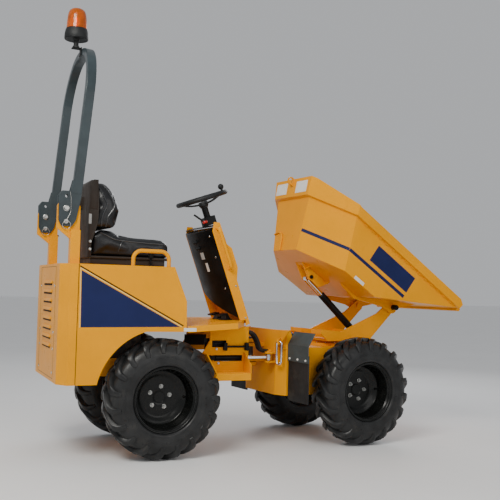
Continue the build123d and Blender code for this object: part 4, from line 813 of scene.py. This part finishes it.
mesh = new()
prism(mesh, [(lid_edge(y, 20), y) for y in range(-200, 201, 20)] + [(-97, 200), (-97, -200)], LID + 0.3,
      LID + 3, dash, bevel=1)
made("dash_yellow", mesh, Matrix(), "rear_chassis", YELLOW)
mesh = new()
pipe(mesh, [(lid_edge(y, 6), y, LID + 2) for y in range(-260, 261, 20)], 7, 10)
for x, y, r in ((-122, -10, 13), (-120, 75, 17), (-118, 130, 10)):
    lathe(mesh, ((0.01, LID + 2.5), (r, LID + 2.5), (r, LID + 11), (r - 3, LID + 14), (r - 4, LID + 12),
                 (0.01, LID + 12)), Matrix.Translation((x, y, 0)), 28)
made("dash_rim", mesh, dash, "rear_chassis", BLACK)
mesh = new()
lathe(mesh, ((0.01, 23.5), (13, 24.6), (18, 28), (19, 36), (15, 43), (0.01, 45)),
      dash @ Matrix.Translation((-70, -110, 0)), 28)
made("dash_button", mesh, Matrix(), "rear_chassis", RED)
mesh = new()
pipe(mesh, [(392, -70, 1566), (366, -98, 1575), (300, -102, 1612)], 7, 12)
made("column_stalk", mesh, REAR, "rear_chassis", GRIP)

SHROUD_HALF = 277.2
SHROUD_BULGE = 80
SHROUD_R = (SHROUD_HALF ** 2 + SHROUD_BULGE ** 2) / (2 * SHROUD_BULGE)
SHROUD = REAR @ plane((386, 0, 1504), (math.cos(CONSOLE_LEAN), 0, math.sin(CONSOLE_LEAN)),
                      (-math.sin(CONSOLE_LEAN), 0, math.cos(CONSOLE_LEAN)))


def on_shroud(y, down):
    """Matrix on the shroud's bulging face, x down it and z out of it."""
    angle = math.asin(y / SHROUD_R)
    normal = Vector((-math.cos(angle), math.sin(angle), 0))
    at = Vector((SHROUD_R - SHROUD_BULGE, 0, -down)) + normal * SHROUD_R
    return SHROUD @ plane(at, (0, 0, -1), normal)


mesh = new()
for y, down in ((-60, 60), (-75, 105)):
    lathe(mesh, ((0.01, -1), (15, -1), (15, 5), (11, 8), (11, 20), (9, 23), (0.01, 24)), on_shroud(y, down), 22)
made("console_knobs", mesh, Matrix(), "rear_chassis", GRIP)
mark("console_plate_grey", [oblong(-25, -22, 25, 22)], on_shroud(-95, 165), "rear_chassis", PALE)
mark("console_plate_cream", [oblong(-32, -14, 32, 14)], on_shroud(-115, 250), "rear_chassis", PLATE)
mesh = new()
for y in (-225, 225):
    for down in (40, 190, 420):
        screw(mesh, (0, 0, 0), (0, 0, 1), radius=7, tall=3.5, matrix=on_shroud(y, down))
made("console_screws", mesh, Matrix(), "rear_chassis", ZINC)
mesh = new()
for side in (-1, 1):
    for x, z in ((430, 1478), (505, 1290), (560, 1120), (640, 900)):
        screw(mesh, (x, side * 282.5, z), (0, side, 0), radius=7, tall=3.5)
made("console_side_screws", mesh, REAR, "rear_chassis", ZINC)

# ---- beacon
LENS_LOW = 2816.5
LENS_WALL = 3
FLUTES = 24
beacon = REAR @ Matrix.Translation((-562, -60, 0))
outer = [(68, LENS_LOW), (67, 2830), (65, 2866), (62, 2900), (57.5, 2924), (50, 2941), (38, 2951), (20, 2955),
         (0.01, 2956)]
inner = [(r - LENS_WALL if r > 4 else 0.01, z - LENS_WALL) for r, z in reversed(outer[1:])] + [(64, LENS_LOW)]
mesh = new()
rings = []
for turn in circle(72):
    flute = 0.7 * math.cos(turn * FLUTES)
    rings.append([polar(r + (flute if r > 40 else 0), turn, z) for r, z in outer]
                 + [polar(r, turn, z) for r, z in inner])
loft(mesh, rings, closed=True)
made("beacon_lens_seen", mesh, beacon, "roll_bar", AMBER, ("beacon_lens",), sharp=60)
mesh = new()
lathe(mesh, ((0.01, 2817), (14, 2817), (14, 2850), (18, 2856), (18, 2890), (8, 2900), (0.01, 2901)), steps=24)
loft(mesh, [[polar(r, math.radians(-75 + 150 * k / 10), z) for r, z in
             ((44, 2826), (47, 2860), (44, 2906), (41, 2906), (44, 2860), (41, 2826))] for k in range(11)])
made("beacon_reflector", mesh, beacon @ Matrix.Rotation(math.radians(150), 4, "Z"), "roll_bar",
     REFLECTOR)
mesh = new()
lathe(mesh, ((60, 2812), (72, 2812), (74, 2806), (79, 2778), (80, 2752), (76, 2745), (60, 2745)))
for k in range(3):
    screw(mesh, polar(73, k * 2.1, 2800), polar(1, k * 2.1, 0.3), radius=5)
lathe(mesh, ((14, 2684), (22, 2688), (22, 2700), (17, 2704), (17, 2722), (20, 2726), (20, 2738), (26, 2746),
             (14, 2746)), steps=28)
made("beacon_boot", mesh, beacon, "roll_bar", GRIP)

# ---- roll bar fittings
FOLD = (-650, 1573)
LOCK = 1490                   # height of the pins that lock the bar upright
mesh = new()
wires = new()
feet = new()
for side in (-1, 1):
    post = side * POST_Y
    for out in (-1, 1):
        y = post + out * 24
        bolt(mesh, (FOLD[0], y, FOLD[1]), (0, out, 0), flats=26, tall=13)
        lathe(mesh, ((0.01, -0.2), (15, -0.2), (16, 3), (14, 8), (0.01, 9)),
              stand((FOLD[0], y, LOCK), (0, out, 0)), 24)
        turns = [math.radians(a) for a in range(-60, 300, 20)]
        pipe(wires, [(FOLD[0] + 26 * math.cos(a) + 4, y + out * (6 + 5 * math.sin(a)),
                      LOCK - 22 + 24 * math.sin(a)) for a in turns], 2.4, 8)
    y = post + side * 26.5
    pipe(wires, rounded([(FOLD[0] + 20, y, FOLD[1] + 104), (FOLD[0] + 27, y, FOLD[1] + 60),
                         (FOLD[0] + 28, y, FOLD[1] - 20), (FOLD[0] + 6, y, LOCK + 12)], 18), 2.2, 8)
    for x in (-558, -614):
        bolt(feet, (x, post, 1440), (0, 0, 1), flats=17, tall=9)
made("roll_bar_bolts", mesh, REAR, "roll_bar", ZINC)
made("linch_pins", wires, REAR, "roll_bar", ZINC)
made("post_bolts", feet, REAR, "rear_chassis", BLACK)

# ---- skip: marks, welds and plates
FLOOR_REAR = (-703, 160)      # corners of the skip's floor
FLOOR_SIDE = (-423, 452)
REAR_LEAN = 0.43              # how far its walls lean out for each mm of height
CORNER_FLARE = 0.15
SIDE_FLARE = 0.13
BAND_OUT = 28                 # how far the band stands out behind
WELD_Z = 361
WELDS = 14
EAR_EYE = (-417, -48)
SKIP_NORMAL = Vector((0, -1, -SIDE_FLARE)).normalized()
CHAMFER = Vector((FLOOR_SIDE[0] - FLOOR_REAR[0], FLOOR_REAR[1] - FLOOR_SIDE[1], 0)).cross(
    Vector((-REAR_LEAN, -CORNER_FLARE, 1))).normalized()
BAND_REAR = Vector((-1, 0, -REAR_LEAN)).normalized()


def on_rear_wall(out):
    """Matrix on the skip's rear wall, moved out along its normal."""
    return plane(Vector((FLOOR_REAR[0], 0, 0)) + BAND_REAR * out, (0, -1, 0), BAND_REAR)


plates = new()
pins = new()
for side, label, mirror in SIDES:
    flank = SKIP @ mirror @ plane((0, -FLOOR_SIDE[1], 0), (1, 0, 0), SKIP_NORMAL)
    mark("skip_panel_" + label, [oblong(-300, 187, 122, 318)], flank, "skip_body", NAVY)
    mark("skip_stripe_" + label, [strip((-488, 147), (122, 149), 24)], flank, "skip_body", NAVY)
    fold = SKIP @ mirror @ plane((-488, -471, 146), (-273, 289, -6), CHAMFER)
    mark("skip_stripe_chamfer_" + label, [strip((2, 0), (396, 0), 24)], fold, "skip_body", NAVY)
    mark("skip_plate_" + label, [oblong(-328, 4, -228, 28)], flank, "skip_body", PLATE)
    mesh = new()
    y = -(FLOOR_SIDE[1] + SIDE_FLARE * WELD_Z)
    for k in range(WELDS):
        pipe(mesh, [(-500 + k * 76 + t * 4, y - 4, WELD_Z + 0.5 + 0.6 * math.sin(t * 2.2))
                    for t in range(9)], 7, 8)
    made("weld_band_" + label, mesh, SKIP @ mirror, "skip_body", YELLOW)
    # ears of the tip cylinder, with two gussets and the eye's pin
    prism(plates, ((-500, -1), (-455, -50), (-417, -68), (-380, -72), (-322, -78), (-290, -46), (-262, -1)),
          47.5, 54, mirror @ SIDE, bevel=1.5)
    for s, wide in ((-492, 46), (-285, 60)):
        prism(plates, ((48, -0.5), (48 + wide, -0.5), (48, -34)), s - 4, s + 4,
              Matrix(((0, 0, 1, 0), (side, 0, 0, 0), (0, 1, 0, 0), (0, 0, 0, 1))), bevel=1)
    lathe(pins, ((0.01, 0), (15, 0), (15, 7), (12, 9), (0.01, 9)),
          stand((EAR_EYE[0], side * 54, EAR_EYE[1]), (0, side, 0)), 24)
mark("band_plates", [[(x - 74, 436), (x + 74, 436), (x + 78, 524), (x - 70, 524)] for x in (-146, 126)],
     SKIP @ on_rear_wall(BAND_OUT), "skip_body", PLATE, thick=1.2)
mesh = new()
wall = on_rear_wall(7)
path = rounded([(-60, 2, 0), (-58, 128, 0), (-118, 146, 0), (-174, 128, 0)], 60)
pipe(mesh, [wall @ point for point in path], 7, 12)
made("skip_hand_ring", mesh, SKIP, "skip_body", YELLOW)
made("tip_ear_plates", plates, SKIP, "skip_body", YELLOW)
made("tip_ear_pins", pins, SKIP, "skip_body", BLACK)

# ---- front half
LINK_LONG = 60                # half the straight of the tie-down link, and half its width
LINK_WIDE = 20
low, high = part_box("tie_down_link")
middle = (low + high) / 2
along = (FRONT.to_3x3() @ Vector((45, -85, 0)).normalized()).normalized()
path = []
for a in range(0, 360, 15):
    angle = math.radians(a)
    rise = math.sin(angle) * LINK_WIDE + (LINK_LONG if math.sin(angle) >= 0 else -LINK_LONG)
    path.append(middle + (along * math.cos(angle) * LINK_WIDE + Vector((0, 0, 1)) * rise) * MM)
mesh = new()
pipe(mesh, path, 8 * MM, 14, closed=True)
made("tie_down_link_seen", mesh, Matrix(), "front_chassis", CHROME, ("tie_down_link",))
mesh = new()
for side in (-1, 1):
    for y in (320, 420, 520):
        bolt(mesh, (947, side * y, 618), (-1, 0, 0), flats=11, tall=5)
made("mudguard_bolts", mesh, FRONT, "front_chassis", PLATE)
mesh = new()
for turn in circle(18):
    bolt(mesh, Vector((SLEW_X, 0, 708)) + polar(198, turn), (0, 0, 1), flats=13, tall=7, washer=False)
made("front_bolts", mesh, FRONT, "front_chassis", ZINC)
mesh = new()
for side in (-1, 1):
    lathe(mesh, ((0.01, 0), (20.5, 0), (20.5, 44), (17, 49), (0.01, 49.5)),
          stand((0, side * 242, 0), (0, side, 0)), 28)
made("tip_pin_ends", mesh, TIPPED, "skip_body", BLACK)

# ---- chassis details
bolts = new()
shade = new()
tread = new()
for side in (-1, 1):
    for x, z in ((440, 683), (457, 585), (200, 560), (-100, 560)):
        bolt(bolts, (x, side * CHASSIS_HALF, z), (0, side, 0), flats=13, tall=7)
    slab(shade, (170, 5, 78), (450, side * 214, 716), bevel=1)
    pipe(shade, [(380, side * 222, 706), (440, side * 224, 722), (525, side * 222, 712)], 7, 12)
    for x in range(412, 646, 18):
        for y in (275, 300, 325, 350, 368):
            lathe(tread, ((0.01, 3.4), (2.4, 3.2), (4.6, 0), (4.6, -0.5), (0.01, -0.5)),
                  Matrix.Translation((x, side * y, 527)), 8)
made("chassis_bolts", bolts, REAR, "rear_chassis", ZINC)
made("chassis_shade", shade, REAR, "rear_chassis", BLACK)
made("step_tread", tread, REAR, "rear_chassis", YELLOW)

# the floor plate's raised bars, turned to and fro
FLOOR_RISE = math.radians(4.1)
FLOOR_START = (148, 848)
BAR_PITCH = 34
BAR_LONG = 10
mesh = new()
for row in range(10):
    x = 180 + row * BAR_PITCH
    for k in range(-13, 14):
        y = k * BAR_PITCH + (BAR_PITCH / 2 if row % 2 else 0)
        if abs(y) > 455 or (x > 400 and abs(y) > 455 - (x - 400) * 1.6):
            continue
        place = (Matrix.Translation((x, y, FLOOR_START[1] + (x - FLOOR_START[0]) * math.tan(FLOOR_RISE)))
                 @ Matrix.Rotation(-FLOOR_RISE, 4, "Y")
                 @ Matrix.Rotation(math.radians(45 if (row + k) % 2 else -45), 4, "Z"))
        loft(mesh, [[place @ Vector((u * BAR_LONG, v * w, h))
                     for v, h in ((-1, -0.4), (-0.45, 1.8), (0.45, 1.8), (1, -0.4))]
                    for u, w in ((-1, 0.4), (-0.6, 3), (0.6, 3), (1, 0.4))])
made("floor_tread", mesh, REAR, "rear_chassis", YELLOW)
mark("floor_plate_label", [oblong(120, 815, 207, 838)], REAR @ Matrix.Translation((0, -BODY_HALF, 0)) @ SIDE,
     "rear_chassis", PLATE)

# ---- hoses over the hitch
HOSE_END = 869.7              # x of the unions, steered straight
HOSE_R = 13
steer_cos, steer_sin = math.cos(REST_STEER), math.sin(REST_STEER)
hoses = new()
for end_y in (-105, -140):
    reach = HOSE_END - PIVOT_X
    end = Vector((PIVOT_X + reach * steer_cos - end_y * steer_sin, reach * steer_sin + end_y * steer_cos, 655))
    knee = end - Vector((steer_cos, steer_sin, 0)) * 60
    route = [(600, knee.y, 874), (600, knee.y, 798), (752, knee.y, 802), (knee.x - 22, knee.y, 735), knee, end]
    curve = bpy.data.curves.new("hose_line", "CURVE")
    curve.dimensions = "3D"
    spline = curve.splines.new("NURBS")
    spline.points.add(len(route) - 1)
    for point, at in zip(spline.points, route):
        point.co = (*at, 1)
    spline.order_u = 3
    spline.use_endpoint_u = True
    spline.resolution_u = 12
    holder = bpy.data.objects.new("hose_line", curve)
    line = bpy.data.meshes.new_from_object(holder)
    path = [vertex.co.copy() for vertex in line.vertices]
    bpy.data.objects.remove(holder)
    pipe(hoses, path, HOSE_R, 16)
    # a ferrule on each end
    for here, there in ((path[-1], path[-4]), (path[0], path[3])):
        lathe(hoses, ((12, 0), (15.5, 0), (15.5, 24), (14.4, 26), (12, 26)), stand(here, there - here), 20)
hose_piece = made("hitch_hoses_seen", hoses, REAR, None, RUBBER, ("hitch_hoses",))
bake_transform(hose_piece)

# ---- camera, light and floor
def lamp(name, at, towards, size, power, colour):
    """Area light at a point, facing another."""
    data = bpy.data.lights.new(name, "AREA")
    data.shape = "RECTANGLE"
    data.size = size[0]
    data.size_y = size[1]
    data.energy = power
    data.color = colour
    item = placed(name, data)
    item.location = at
    item.rotation_euler = (Vector(towards) - Vector(at)).to_track_quat("-Z", "Y").to_euler()


lamp("key", (-3.6, -3.4, 4.6), (0, 0, 1.0), (2.4, 2.0), 250, (1.0, 0.98, 0.92))
lamp("side", (1.2, -6.0, 2.6), (0.1, 0, 0.9), (4.0, 2.5), 60, (1.0, 0.98, 0.95))
lamp("back", (2.8, 3.8, 3.6), (0, 0, 1.2), (3.0, 2.5), 80, (0.97, 0.98, 1.0))
world = bpy.data.worlds.new("studio")
world.use_nodes = True
background = world.node_tree.nodes["Background"].inputs
background["Color"].default_value = (0.95, 0.97, 1.0, 1)
background["Strength"].default_value = 0.5
bpy.context.scene.world = world

mesh = new()
bmesh.ops.create_grid(mesh, x_segments=2, y_segments=2, size=60)
floor = solid("floor", mesh)
floor.data.materials.append(look("floor", (0.86, 0.86, 0.86), rough=0.6, vary=0.01, vary_scale=1.0, bump=0.02))
floor.location.z = -0.002

# camera fitted to the photo's wheels
YAW, PITCH, ROLL = -0.412, 0.049, 0.027
ahead = Vector((-math.sin(YAW) * math.cos(PITCH), math.cos(YAW) * math.cos(PITCH), math.sin(PITCH)))
right = Vector((math.cos(YAW), math.sin(YAW), 0))
up = right.cross(ahead)
right, up = (right * math.cos(ROLL) + up * math.sin(ROLL), up * math.cos(ROLL) - right * math.sin(ROLL))
camera_data = bpy.data.cameras.new("camera")
camera_data.lens = 57.3156
camera_data.sensor_width = 36
camera = placed("camera", camera_data)
pose = Matrix((right, up, -ahead)).transposed().to_4x4()
pose.translation = (-2.4695, -5.4495, 1.1013)
camera.matrix_world = pose
bpy.context.scene.camera = camera
